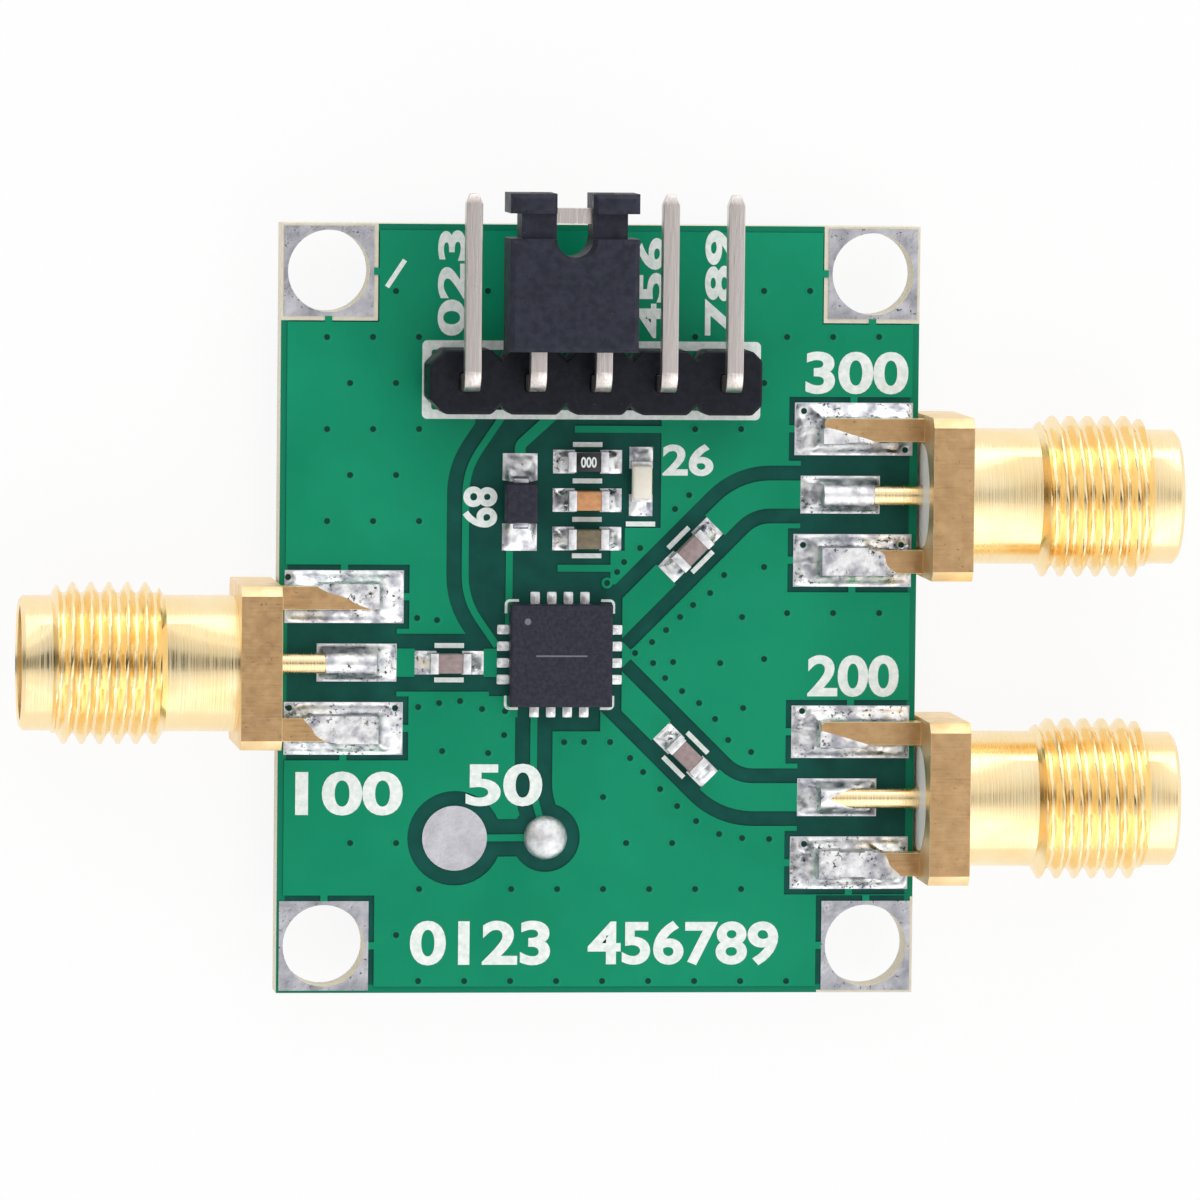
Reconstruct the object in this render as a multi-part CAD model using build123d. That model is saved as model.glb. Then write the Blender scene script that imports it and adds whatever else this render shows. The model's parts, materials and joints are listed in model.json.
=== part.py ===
from build123d import *
import math
import os

# Every length is in millimetres. X runs from the single jack to the pair, Y towards the edge that the
# header's pins hang over, Z up through the component side. The origin is the middle of the four mounting
# holes, on the board's underside.

# Board and copper
board_width = 25.0
board_length = 30.0
board_thickness = 1.6
copper_thickness = 0.05
copper_margin = 0.25
relief_gap = 0.22
spoke_width = 0.28

# Mounting holes
hole_diameter = 3.2
hole_inset = 1.85
mount_land_side = 3.5

# Jack shell
flange_side = 6.35
flange_thickness = 1.6
flange_bevel = 0.38
flange_gap = 0.12
neck_diameter = 5.3
neck_length = 2.8
thread_diameter = 6.3
thread_length = 4.4
thread_bevel = 0.35
pilot_diameter = 5.25
pilot_length = 1.2
pilot_bevel = 0.15
mouth_diameter = 4.6
mouth_depth = 1.9
leg_length = 3.8
leg_width = 0.9
leg_thickness = 0.9
leg_end_bevel = 0.12
leg_pitch = 5.14

# Jack insulator and contact
seat_gap = 0.02
insulator_diameter = 4.1
contact_diameter = 1.27
contact_length = 5.0
contact_recess = 0.15
socket_diameter = 0.94
socket_depth = 2.8
socket_slot = 0.15
socket_slot_depth = 1.9
tail_diameter = 0.8
tail_reach = 3.7

# Lands and solder under the jacks
ground_land_length = 4.65
ground_land_width = 2.06
ground_land_inset = 0.22
signal_land_length = 3.12
signal_land_width = 1.48
signal_land_inset = 1.49
puddle_margin = 0.12
puddle_height = 0.42
puddle_slope = 42

# Coaxial lines and traces
line_width = 1.1
line_gap = 0.58
line_bend = 2.4
upper_run = 2.15
lower_run = 2.74
common_outer_stub = 0.706
common_inner_stub = 0.519
trace_width = 0.27
trace_gap = 0.6
trace_bend = 3.0
diode_trace_width = 0.42
diode_trace_run = 0.32

# Header
pin_count = 5
pin_pitch = 2.54
pin_side = 0.64
pin_bend = 0.5
pin_setback = 0.04
pin_tip_side = 0.34
pin_tip_length = 0.4
pin_tail = 1.0
header_depth = 2.5
header_height = 2.54
header_notch = 0.38
header_stub = 0.25
header_corner = 0.6
pin_hole_diameter = 1.0
pin_land_side = 1.7
pin_cone_height = 0.7
pin_cone_slope = 25

# Jumper cap
jumper_width = 5.0
jumper_length = 6.1
jumper_thickness = 2.5
jumper_lift = 0.1
jumper_mouth = 1.27
jumper_edge = 0.18
grip_depth = 0.45
grip_length = 0.97
groove_depth = 0.35
head_length = 0.77
split_width = 1.4
split_depth = 2.45
clip_sheet = 0.2
clip_gap = 0.05
tongue_length = 1.03
clip_setback = 0.5
bridge_length = 0.62
bridge_setback = 0.55

# Switch chip
chip_side = 4.0
chip_height = 0.86
chip_edge = 0.06
lead_rows = 4
lead_pitch = 0.65
lead_width = 0.3
lead_length = 0.4
lead_thickness = 0.2
paddle_side = 2.1
toe_length = 0.45
toe_solder_height = 0.22
chip_field_room = 0.3
chip_foot_room = 0.55

# Two-ended chip parts
part_length = 1.6
part_width = 0.8
part_land_span = 2.7
part_land_length = 0.85
part_land_width = 0.92
end_cap_length = 0.32
end_cap_wall = 0.03
capacitor_height = 0.8
resistor_height = 0.46
resistor_coat_height = 0.04
lamp_base_height = 0.3
lamp_height = 0.6
lamp_lens_length = 1.36
lamp_slope = 5
part_row_pitch = 1.5

# Diode
diode_body_length = 1.6
diode_body_width = 1.3
diode_body_height = 0.9
diode_stand = 0.08
diode_slope = 6
diode_lead_thickness = 0.12
diode_lead_width = 0.6
diode_lead_knee = 0.16
diode_lead_gap = 0.3
diode_span = 2.6
diode_lead_bend = 0.1
diode_land_length = 1.05
diode_land_width = 1.36
diode_land_span = 3.8
diode_solder_height = 0.3

# Test land and solder dome
test_land_diameter = 2.54
test_gap = 0.58
dome_diameter = 1.7
dome_height = 0.62
dome_gap = 0.5

# Cuts run past their faces by this much
overrun = 1.0

# Places, as shares of the board's width and length
common_line_share = -0.0693
header_shares = (-0.0132, 0.299)
column_shares = (-0.0196, 0.1427)
diode_shares = (-0.1252, 0.14)
lamp_shares = (0.0644, 0.1673)
test_land_shares = (-0.2224, -0.298)
dome_shares = (-0.08, -0.297)
field_shares = ((-0.196, 0.25), (-0.135, 0.299), (0.06, 0.299), (0.06, 0.25), (0.096, 0.25), (0.096, 0.107),
                (0.04, 0.107), (0.04, 0.077), (0.018, 0.077), (0.018, -0.02), (-0.196, -0.02))
strip_shares = ((-0.065, 0.0541), (0.04, 0.0541))
supply_shares = ((-0.04, 0.235), (0.15, 0.235))
trace_turn_shares = ((-0.2096, 0.181), (-0.2096, 0.013))

# Places of the right-hand jacks, as shares of the edge that their lands and the mounting lands leave free
upper_spare_share = 0.3893
lower_spare_share = 0.0561

# Places of the two blocking capacitors on slanted lines, as shares of the slanted stretch
upper_capacitor_share = 0.59
lower_capacitor_share = 0.64

# How far solder climbs, as a share of a part's height
climb_share = 0.62

# How much of the shorter run beside a corner its bend may use
bend_share = 0.45

# Levels and places that follow from the sizes
land_top = board_thickness + copper_thickness
land_bottom = -copper_thickness
axis_height = land_top + tail_diameter / 2
flange_face = board_width / 2 + flange_gap
barrel_length = neck_length + thread_length + pilot_length
shell_end = flange_thickness + barrel_length
reference_plane = shell_end - mouth_depth
common_line = common_line_share * board_length
edge_room = board_length - 2 * hole_inset - mount_land_side
port_room = leg_pitch + ground_land_width
edge_spare = edge_room - 2 * port_room
upper_line = edge_room / 2 - upper_spare_share * edge_spare - port_room / 2
lower_line = lower_spare_share * edge_spare + port_room / 2 - edge_room / 2
header_row = header_shares[1] * board_length
header_middle = header_shares[0] * board_width
header_top = land_top + header_height
pin_height = header_top + jumper_lift + jumper_thickness / 2
pin_reach = jumper_mouth + jumper_length - pin_setback
clip_length = jumper_length - clip_setback - tongue_length - bridge_length - bridge_setback
jumper_middle = header_middle - pin_pitch / 2
outer_row = (lead_rows - 1) / 2
toe_end = chip_side / 2 + toe_length
land_start = board_width / 2 - signal_land_inset - signal_land_length
common_capacitor_x = common_outer_stub + part_land_span / 2 - land_start
chip_x = common_capacitor_x + part_land_span / 2 + common_inner_stub + toe_end
chip_y = common_line + lead_pitch / 2
ports = {"common_port": (-1, common_line), "upper_port": (1, upper_line), "lower_port": (1, lower_line)}
corners = [(x, y) for x in (-1, 1) for y in (-1, 1)]


def at(shares):
    """A place on the board, from shares of its width and length."""
    return shares[0] * board_width, shares[1] * board_length


def rod(radius, start, end):
    """A round bar along X."""
    return Pos((start + end) / 2, 0, 0) * Rot(0, 90, 0) * Cylinder(radius, end - start)


def slab(face, level, thickness):
    """A flat sketch made into a plate that stands on a level."""
    return extrude(Pos(0, 0, level) * face, amount=thickness, dir=(0, 0, 1))


def copper(face, side=1):
    """A flat sketch as copper on the upper face, or on the lower face when side is -1."""
    return slab(face, board_thickness if side > 0 else land_bottom, copper_thickness)


def bend_radii(points, bend):
    """The radius of each corner of a route, no larger than the runs beside it leave room for."""
    radii = []
    for before, corner, after in zip(points, points[1:], points[2:]):
        first = Vector(*corner) - Vector(*before)
        second = Vector(*after) - Vector(*corner)
        half_turn = math.radians(first.get_angle(second)) / 2
        room = bend_share * min(first.length, second.length) / math.tan(half_turn)
        radii.append(min(bend, room))
    return radii


def path_strip(points, width, bend):
    """A strip of even width along a route with rounded corners."""
    if len(points) > 2:
        return trace(FilletPolyline(*points, radius=bend_radii(points, bend)), width)
    return trace(Line(*points), width)


def wedge(length, width, height):
    """A solder fillet: highest at x = 0, running out along +X."""
    profile = make_face(Polyline((0, 0), (length, 0), (0, height), close=True))
    return extrude(Plane.XZ * profile, amount=width / 2, both=True)


def solids_of(shapes):
    """One group of separate solids."""
    return Compound([solid for shape in shapes for solid in shape.solids()])


def mount_place(corner):
    """The middle of the mounting hole in a corner, which is given by the signs of its x and y."""
    return Pos(corner[0] * (board_width / 2 - hole_inset), corner[1] * (board_length / 2 - hole_inset))


def pin_places():
    """The header pins' middles on the board, from left to right."""
    first = header_middle - (pin_count - 1) / 2 * pin_pitch
    return [Pos(first + index * pin_pitch, header_row) for index in range(pin_count)]


def port_frame(port):
    """A jack's own frame: x outward from the flange's inner face, z up, with the barrel's axis at z = 0."""
    side, line = ports[port]
    return Pos(side * flange_face, line, axis_height) * Rot(0, 0, 0 if side > 0 else 180)


def port_edge(port):
    """The board's edge at a jack: x outward from the edge, z = 0 on the board's underside."""
    side, line = ports[port]
    return Pos(side * board_width / 2, line) * Rot(0, 0, 0 if side > 0 else 180)


# Routes of the coaxial lines

def fork_route(line, run, row):
    """From a right-hand chip lead, slanting to a jack's line and straight along it to the jack's land."""
    start = (chip_x + chip_side / 2, chip_y + row * lead_pitch)
    return [start, (land_start - run, line), (land_start, line)]


upper_route = fork_route(upper_line, upper_run, outer_row)
lower_route = fork_route(lower_line, lower_run, -outer_row)
common_route = [(chip_x - chip_side / 2, common_line), (-land_start, common_line)]


def along(route, share):
    """A place on the first stretch of a route, with its X along the stretch."""
    start, end = route[0], route[1]
    angle = math.degrees(math.atan2(end[1] - start[1], end[0] - start[0]))
    x = start[0] + share * (end[0] - start[0])
    y = start[1] + share * (end[1] - start[1])
    return Pos(x, y) * Rot(0, 0, angle)


column_x, column_y = at(column_shares)
part_frames = {
    "common_capacitor": Pos(common_capacitor_x, common_line),
    "upper_capacitor": along(upper_route, upper_capacitor_share),
    "lower_capacitor": along(lower_route, lower_capacitor_share),
    "bias_resistor": Pos(column_x, column_y + part_row_pitch),
    "first_bypass_capacitor": Pos(column_x, column_y),
    "second_bypass_capacitor": Pos(column_x, column_y - part_row_pitch),
    "indicator_lamp": Pos(*at(lamp_shares)) * Rot(0, 0, 90),
}
capacitors = [name for name in part_frames if name.endswith("capacitor")]
part_heights = {name: capacitor_height for name in capacitors}
part_heights["bias_resistor"] = resistor_height
part_heights["indicator_lamp"] = lamp_base_height
diode_frame = Pos(*at(diode_shares)) * Rot(0, 0, 90)
chip_frame = Pos(chip_x, chip_y)


# Board

def circuit_board():
    board = Pos(0, 0, board_thickness / 2) * Box(board_width, board_length, board_thickness)
    depth = board_thickness + 2 * overrun
    for corner in corners:
        board -= mount_place(corner) * Cylinder(hole_diameter / 2, depth)
    for place in pin_places():
        board -= place * Cylinder(pin_hole_diameter / 2, depth)
    return board


def relief(length, width, spokes):
    """Clearance round a land that spokes, given by their directions, join to the copper beside it."""
    outer_length = length + 2 * relief_gap
    outer_width = width + 2 * relief_gap
    ring = Rectangle(outer_length, outer_width)
    for x, y in spokes:
        bar = Rectangle(outer_length if x else spoke_width, outer_width if y else spoke_width)
        ring -= Pos(x * outer_length / 2, y * outer_width / 2) * bar
    return ring + Rectangle(length, width)


def ground_land_frame(port, side):
    """The middle of a jack's ground land on one side of its line, in the frame of the board's edge."""
    return port_edge(port) * Pos(-ground_land_inset - ground_land_length / 2, side * leg_pitch / 2)


def shared_reliefs():
    """Clearances that both copper faces have: mounting lands and the jacks' ground lands."""
    faces = []
    for x, y in corners:
        faces.append(mount_place((x, y)) * relief(mount_land_side, mount_land_side, [(-x, 0), (0, -y)]))
    for port in ports:
        for side in (-1, 1):
            face = relief(ground_land_length, ground_land_width, [(-1, 0), (0, side)])
            faces.append(ground_land_frame(port, side) * face)
    return faces


def signal_clearance(port):
    """Bare board round a jack's signal land, out to the board's edge."""
    length = signal_land_inset + signal_land_length
    return port_edge(port) * Pos(-length / 2, 0) * Rectangle(length, signal_land_width + 2 * line_gap)


def chip_clearances():
    """Bare board round the switch chip and before its lower leads, but for the tab to its ground leads."""
    reach = toe_end + chip_field_room
    row_half = (lead_rows + 1) / 2 * lead_pitch
    foot = toe_end + chip_foot_room
    upper = Pos(0, (reach - row_half) / 2) * Rectangle(2 * reach, reach + row_half)
    upper -= Pos((toe_end + reach) / 2, 0) * Rectangle(chip_field_room, lead_pitch + lead_width)
    lower = Pos(0, -foot / 2) * Rectangle(2 * row_half, foot)
    return [chip_frame * upper, chip_frame * lower]


def test_frame():
    return Pos(*at(test_land_shares))


def dome_frame():
    return Pos(*at(dome_shares))


def trace_routes():
    """Thin traces: header to chip, header to diode, diode to chip, chip to dome, dome to test land."""
    second_pin, third_pin = [place.position for place in pin_places()[1:3]]
    turns = [at(shares) for shares in trace_turn_shares]
    diode_x, diode_y = at(diode_shares)
    diode_reach = diode_land_span / 2
    dome_x, dome_y = at(dome_shares)
    dome_lead = chip_x - outer_row * lead_pitch
    edge = chip_x - chip_side / 2
    upper_lead = chip_y + outer_row * lead_pitch + lead_width / 2
    return {
        "header_to_chip": [(second_pin.X, second_pin.Y), *turns,
                           (chip_x - toe_end, chip_y + lead_pitch / 2)],
        "header_to_diode": [(third_pin.X, third_pin.Y), (diode_x, diode_y + diode_reach + diode_trace_run),
                            (diode_x, diode_y + diode_reach)],
        "diode_to_chip": [(edge, diode_y - diode_reach), (edge, upper_lead)],
        "chip_to_dome": [(dome_lead, chip_y - toe_end), (dome_lead, dome_y + dome_diameter),
                         (dome_x, dome_y)],
        "dome_to_test": [(dome_x, dome_y), at(test_land_shares)],
    }


def trace_width_of(name):
    return diode_trace_width if name == "header_to_diode" else trace_width


def trace_clearances():
    """Bare board on both sides of the thin traces that cross the ground area."""
    routes = trace_routes()
    routes["header_to_diode"] = routes["header_to_diode"][:2]
    del routes["diode_to_chip"]
    strips = []
    for name, route in routes.items():
        strips.append(path_strip(route, trace_width_of(name) + 2 * trace_gap, trace_bend))
    return strips


def trace_ends():
    """Faces that fill the lands at which the thin traces stop."""
    faces = [place * pin_land() for place in pin_places()]
    faces.append(test_frame() * Circle(test_land_diameter / 2))
    faces.append(dome_frame() * Circle(dome_diameter / 2))
    return faces


def field_clearance():
    """Bare board under the chip parts between the header and the switch chip."""
    bare = make_face(Polyline(*[at(shares) for shares in field_shares], close=True))
    for strip in (strip_shares, supply_shares):
        bare -= path_strip([at(shares) for shares in strip], trace_width, trace_bend)
    return bare


def top_ground_copper():
    margin = 2 * copper_margin
    ground = copper(Rectangle(board_width - margin, board_length - margin))
    bare = shared_reliefs() + chip_clearances() + [field_clearance()]
    bare += [signal_clearance(port) for port in ports]
    for route in (common_route, upper_route, lower_route):
        bare.append(path_strip(route, line_width + 2 * line_gap, line_bend))
    bare += trace_clearances()
    bare.append(test_frame() * Circle(test_land_diameter / 2 + test_gap))
    bare.append(dome_frame() * Circle(dome_diameter / 2 + dome_gap))
    bare += [place * pin_land(relief_gap) for place in pin_places()]
    for face in bare:
        ground -= slab(face, 0, board_thickness + overrun)
    return ground


def bottom_ground_copper():
    margin = 2 * copper_margin
    ground = copper(Rectangle(board_width - margin, board_length - margin), -1)
    bare = shared_reliefs()
    bare += [place * pin_land(relief_gap) for place in pin_places()]
    for face in bare:
        ground -= slab(face, -overrun, 2 * overrun)
    return ground


def coaxial_line(route, name):
    """A coaxial line in two stretches, with bare board between the capacitor's lands."""
    strip = copper(path_strip(route, line_width, line_bend))
    strip -= chip_frame * Box(2 * toe_end, 2 * toe_end, 2 * (board_thickness + overrun))
    return strip - part_frames[name] * Box(part_land_span, 2 * line_width, 2 * (board_thickness + overrun))


def control_traces():
    stops = [slab(face, 0, board_thickness + overrun) for face in trace_ends()] + [switch_chip_lands()]
    strips = []
    for name, route in trace_routes().items():
        strips.append(copper(path_strip(route, trace_width_of(name), trace_bend)) - stops)
    return solids_of(strips)


# Lands

def both_sides(faces):
    return solids_of([copper(face, side) for face in faces for side in (1, -1)])


def mounting_lands():
    land = Rectangle(mount_land_side, mount_land_side) - Circle(hole_diameter / 2)
    return both_sides([mount_place(corner) * land for corner in corners])


def port_lands():
    ground = Rectangle(ground_land_length, ground_land_width)
    signal = Rectangle(signal_land_length, signal_land_width)
    middle = Pos(-signal_land_inset - signal_land_length / 2, 0)
    grounds = both_sides([ground_land_frame(port, side) * ground for port in ports for side in (-1, 1)])
    return solids_of([grounds] + [copper(port_edge(port) * middle * signal) for port in ports])


def pin_land(gap=0):
    """An eight-sided header land, grown all round by gap."""
    return RegularPolygon(pin_land_side / 2 + gap, 8, major_radius=False)


def pin_passage():
    """The square opening that the solder leaves for a header pin."""
    return Rectangle(pin_side + 2 * seat_gap, pin_side + 2 * seat_gap)


def header_lands():
    return both_sides([place * (pin_land() - pin_passage()) for place in pin_places()])


def lead_frames():
    """One frame for each chip lead: x = 0 on the body's side face, x outward."""
    frames = []
    for turn in range(4):
        for row in range(lead_rows):
            offset = (row - outer_row) * lead_pitch
            frames.append(chip_frame * Rot(0, 0, 90 * turn) * Pos(chip_side / 2, offset))
    return frames


def switch_chip_lands():
    length = lead_length + toe_length
    land = Pos((toe_length - lead_length) / 2, 0) * Rectangle(length, lead_width)
    paddle = chip_frame * Rectangle(paddle_side, paddle_side)
    return solids_of([copper(frame * land) for frame in lead_frames()] + [copper(paddle)])


def part_lands():
    land = Rectangle(part_land_length, part_land_width)
    x = (part_land_span - part_land_length) / 2
    faces = [frame * Pos(side * x, 0) * land for frame in part_frames.values() for side in (-1, 1)]
    diode_land = Rectangle(diode_land_length, diode_land_width)
    diode_x = (diode_land_span - diode_land_length) / 2
    faces += [diode_frame * Pos(side * diode_x, 0) * diode_land for side in (-1, 1)]
    return solids_of([copper(face) for face in faces])


def enable_lands():
    test = copper(test_frame() * Circle(test_land_diameter / 2))
    dome = copper(dome_frame() * Circle(dome_diameter / 2))
    return solids_of([test, dome])


def enable_solder():
    """A round solder dome on its land: the cap of a ball."""
    rim = dome_diameter / 2
    ball = (rim ** 2 + dome_height ** 2) / (2 * dome_height)
    dome = Pos(0, 0, dome_height - ball) * Sphere(ball)
    dome &= Pos(0, 0, ball) * Box(2 * ball, 2 * ball, 2 * ball)
    return dome_frame() * Pos(0, 0, land_top) * dome


# Jacks

def barrel():
    """The turned barrel: neck, threaded length as a plain cylinder, and pilot."""
    neck = neck_diameter / 2
    crest = thread_diameter / 2
    pilot = pilot_diameter / 2
    thread_start = flange_thickness + neck_length
    thread_end = thread_start + thread_length
    outline = Polyline(
        (flange_thickness, 0), (flange_thickness, neck), (thread_start, neck),
        (thread_start, crest - thread_bevel), (thread_start + thread_bevel, crest),
        (thread_end - thread_bevel, crest), (thread_end, crest - thread_bevel), (thread_end, pilot),
        (shell_end - pilot_bevel, pilot), (shell_end, pilot - pilot_bevel), (shell_end, 0), close=True)
    return revolve(make_face(outline), Axis.X)


def flange():
    plate = Pos(flange_thickness / 2, 0, 0) * Box(flange_thickness, flange_side, flange_side)
    return chamfer(plate.edges().filter_by(Axis.X), flange_bevel)


def leg():
    """A leg that lies along -X with its lower face at z = 0 and its end's corners cut."""
    end = flange_gap + leg_length
    bar = Pos(-end / 2, 0) * Rectangle(end, leg_width)
    return slab(chamfer(bar.vertices().group_by(Axis.X)[0], leg_end_bevel), 0, leg_thickness)


def legs():
    """Four legs: two that lie on the upper lands and two under the lower lands."""
    upper = land_top - axis_height
    lower = land_bottom - leg_thickness - axis_height
    return [Pos(0, side * leg_pitch / 2, level) * leg() for side in (-1, 1) for level in (upper, lower)]


def jack_shell():
    shell = flange() + barrel() + legs()
    shell -= rod(mouth_diameter / 2, reference_plane, shell_end + overrun)
    return shell - rod(insulator_diameter / 2 + seat_gap, -overrun, shell_end)


def contact_shape(room=0):
    """The centre contact without its socket, thick in front and thin behind, grown all round by room."""
    front = reference_plane - contact_recess
    shoulder = front - contact_length
    thick = rod(contact_diameter / 2 + room, shoulder - room, front + room)
    tail = rod(tail_diameter / 2 + room, -flange_gap - tail_reach, shoulder)
    return thick + tail


def jack_insulator():
    body = rod(insulator_diameter / 2, 0, reference_plane)
    body -= contact_shape(seat_gap)
    front = reference_plane - contact_recess
    return body - rod(contact_diameter / 2 + seat_gap, front, reference_plane + overrun)


def jack_contact():
    """The contact with its socket and the two crossed cuts that leave four spring fingers."""
    front = reference_plane - contact_recess
    contact = contact_shape() - rod(socket_diameter / 2, front - socket_depth, front + overrun)
    cut = socket_slot_depth + overrun
    slot = Pos(front - socket_slot_depth + cut / 2, 0, 0) * Box(cut, 2 * contact_diameter, socket_slot)
    return contact - slot - Rot(90, 0, 0) * slot


def puddle(length, width):
    """A low solder puddle on a land, with sloping sides."""
    base = Rectangle(length - 2 * puddle_margin, width - 2 * puddle_margin)
    return extrude(base, amount=puddle_height, taper=puddle_slope)


def port_solder(port):
    """Solder round a jack's legs, above and below, and round its tail."""
    ground = puddle(ground_land_length, ground_land_width)
    signal = puddle(signal_land_length, signal_land_width)
    shell = port_frame(port) * solids_of(legs())
    groups = []
    for side in (-1, 1):
        frame = ground_land_frame(port, side)
        groups.append(Pos(0, 0, land_top) * frame * ground - shell)
        groups.append(Pos(0, 0, land_bottom) * frame * Rot(180, 0, 0) * ground - shell)
    middle = Pos(-signal_land_inset - signal_land_length / 2, 0, land_top)
    tail = port_frame(port) * rod(tail_diameter / 2 + seat_gap, -flange_gap - tail_reach, 0)
    groups.append(port_edge(port) * middle * signal - tail)
    return solids_of(groups)


# Header and jumper

def header_body():
    """A row of square cells with notched corners, broken off past the first cell, pierced by the pins."""
    square = Rectangle(pin_pitch, header_depth)
    cell = chamfer(square.vertices(), header_notch)
    stub = Pos(-header_stub, 0) * chamfer(square.vertices(), header_corner)
    cells = [place * slab(cell, land_top, header_height) for place in pin_places()]
    cells.append(pin_places()[0] * slab(stub, land_top, header_height))
    holes = [place * slab(pin_passage(), 0, header_top + overrun) for place in pin_places()]
    body = cells[0].fuse(*cells[1:]).clean()
    return body - holes


def header_pin(place):
    """A square pin: up through the board and the body, then bent over towards +Y, with tapered ends."""
    bottom = land_bottom - pin_tail + pin_tip_length
    end = pin_reach - pin_tip_length
    route = [(0, bottom), (0, pin_height), (end, pin_height)]
    bar = extrude(Plane.YZ * path_strip(route, pin_side, pin_bend), amount=pin_side / 2, both=True)
    slope = math.degrees(math.atan2((pin_side - pin_tip_side) / 2, pin_tip_length))
    tip = extrude(Rectangle(pin_side, pin_side), amount=pin_tip_length, taper=slope)
    bar += Pos(0, end, pin_height) * Rot(-90, 0, 0) * tip
    bar += Pos(0, 0, bottom) * Rot(180, 0, 0) * tip
    return place * bar


def header_solder():
    """A solder cone round each pin's tail, under the board, with the land's eight sides."""
    cone = extrude(pin_land(), amount=pin_cone_height, taper=pin_cone_slope)
    cone -= slab(pin_passage(), -overrun, pin_cone_height + 2 * overrun)
    turned = Pos(0, 0, land_bottom) * Rot(180, 0, 0) * cone
    return solids_of([place * turned for place in pin_places()])


jumper_frame = Pos(jumper_middle, header_row + jumper_mouth, pin_height)


grip_middle = jumper_length - head_length - grip_length / 2


def jumper_outline():
    """The cap seen from above: mouth at y = 0, grip notches and a round-bottomed split at the other end."""
    outline = Pos(0, jumper_length / 2) * Rectangle(jumper_width, jumper_length)
    for side in (-1, 1):
        outline -= Pos(side * jumper_width / 2, grip_middle) * Rectangle(2 * grip_depth, grip_length)
    half = split_width / 2
    straight = split_depth - half + overrun
    floor = jumper_length - split_depth + half
    outline -= Pos(0, floor + straight / 2) * Rectangle(split_width, straight)
    return outline - Pos(0, floor) * Circle(half)


def grip_groove(side):
    """The groove across one broad face of the cap, which joins its two grip notches."""
    height = (jumper_thickness - groove_depth + overrun) / 2
    groove = Box(jumper_width, grip_length, groove_depth + overrun)
    return Pos(0, grip_middle, side * height) * groove


def clip_channel(room=0):
    """One spring channel of the clip, open on its inner side, in the frame of its pin."""
    half = pin_side / 2 + clip_gap
    side = 2 * (half + clip_sheet + room)
    channel = Pos(0, clip_setback + clip_length / 2, 0) * Box(side, clip_length + 2 * room, side)
    if room:
        return channel
    return channel - Pos(clip_sheet, clip_setback + clip_length / 2, 0) * Box(side, clip_length, 2 * half)


def clip_bridge(room=0):
    """The strip that joins both channels and shows between the posts."""
    y = jumper_length - bridge_setback - bridge_length / 2
    z = pin_side / 2 + clip_gap + clip_sheet / 2
    width = pin_pitch + pin_side + 2 * room
    return Pos(0, y, z) * Box(width, bridge_length + 2 * room, clip_sheet + 2 * room)


def clip_tongues(room=0):
    """The two tongues that run from the bridge down to the channels."""
    y = clip_setback + clip_length + tongue_length / 2
    z = pin_side / 2 + clip_gap + clip_sheet / 2
    tongue = Box(pin_side + 2 * room, tongue_length + 2 * room, clip_sheet + 2 * room)
    return [Pos(side * pin_pitch / 2, y, z) * tongue for side in (-1, 1)]


def jumper_clip():
    left = Pos(-pin_pitch / 2, 0, 0) * clip_channel()
    right = Pos(pin_pitch / 2, 0, 0) * Rot(0, 180, 0) * clip_channel()
    return jumper_frame * (left + right + clip_bridge() + clip_tongues())


def jumper_housing():
    """The moulded cap, with a channel for each pin and room for the clip."""
    cap = extrude(jumper_outline(), amount=jumper_thickness / 2, both=True)
    cap = chamfer(cap.edges().filter_by(Axis.Z, reverse=True).group_by(Axis.Z)[-1], jumper_edge)
    for side in (-1, 1):
        cap -= grip_groove(side)
    shaft = pin_side + 2 * clip_gap
    entry = shaft + 2 * clip_sheet
    for side in (-1, 1):
        middle = Pos(side * pin_pitch / 2, 0, 0)
        cap -= middle * Pos(0, jumper_length / 2, 0) * Box(shaft, jumper_length + 2 * overrun, shaft)
        cap -= middle * clip_channel(seat_gap)
        cap -= middle * Pos(0, clip_setback / 2, 0) * Box(entry, clip_setback, entry)
    cap -= clip_bridge(seat_gap)
    for tongue in clip_tongues(seat_gap):
        cap -= tongue
    return jumper_frame * cap


# Switch chip and the parts round it

def lead_bar():
    """A flat lead that ends flush with the body's side face."""
    bar = Box(lead_length, lead_width, lead_thickness)
    return Pos(-lead_length / 2, 0, land_top + lead_thickness / 2) * bar


def chip_paddle():
    paddle = Box(paddle_side, paddle_side, lead_thickness)
    return chip_frame * Pos(0, 0, land_top + lead_thickness / 2) * paddle


def switch_chip_leads():
    return solids_of([frame * lead_bar() for frame in lead_frames()])


def switch_chip_body():
    body = Pos(0, 0, land_top + chip_height / 2) * Box(chip_side, chip_side, chip_height)
    body = chamfer(body.faces().sort_by(Axis.Z)[-1].edges(), chip_edge)
    return chip_frame * body - chip_paddle() - [frame * lead_bar() for frame in lead_frames()]


def switch_chip_solder():
    toe = Pos(0, 0, land_top) * wedge(toe_length, lead_width, toe_solder_height)
    return solids_of([frame * toe for frame in lead_frames()])


def part_core(height):
    """The ceramic of a chip part, which its two end caps wrap."""
    wall = 2 * end_cap_wall
    core = Box(part_length - wall, part_width - wall, height - wall)
    return Pos(0, 0, land_top + height / 2) * core


def part_ends(name):
    """The two metal end caps of a chip part."""
    height = part_heights[name]
    cap = Box(end_cap_length, part_width, height)
    x = (part_length - end_cap_length) / 2
    caps = [Pos(side * x, 0, land_top + height / 2) * cap - part_core(height) for side in (-1, 1)]
    return part_frames[name] * solids_of(caps)


def part_body(name):
    return part_frames[name] * part_core(part_heights[name])


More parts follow.
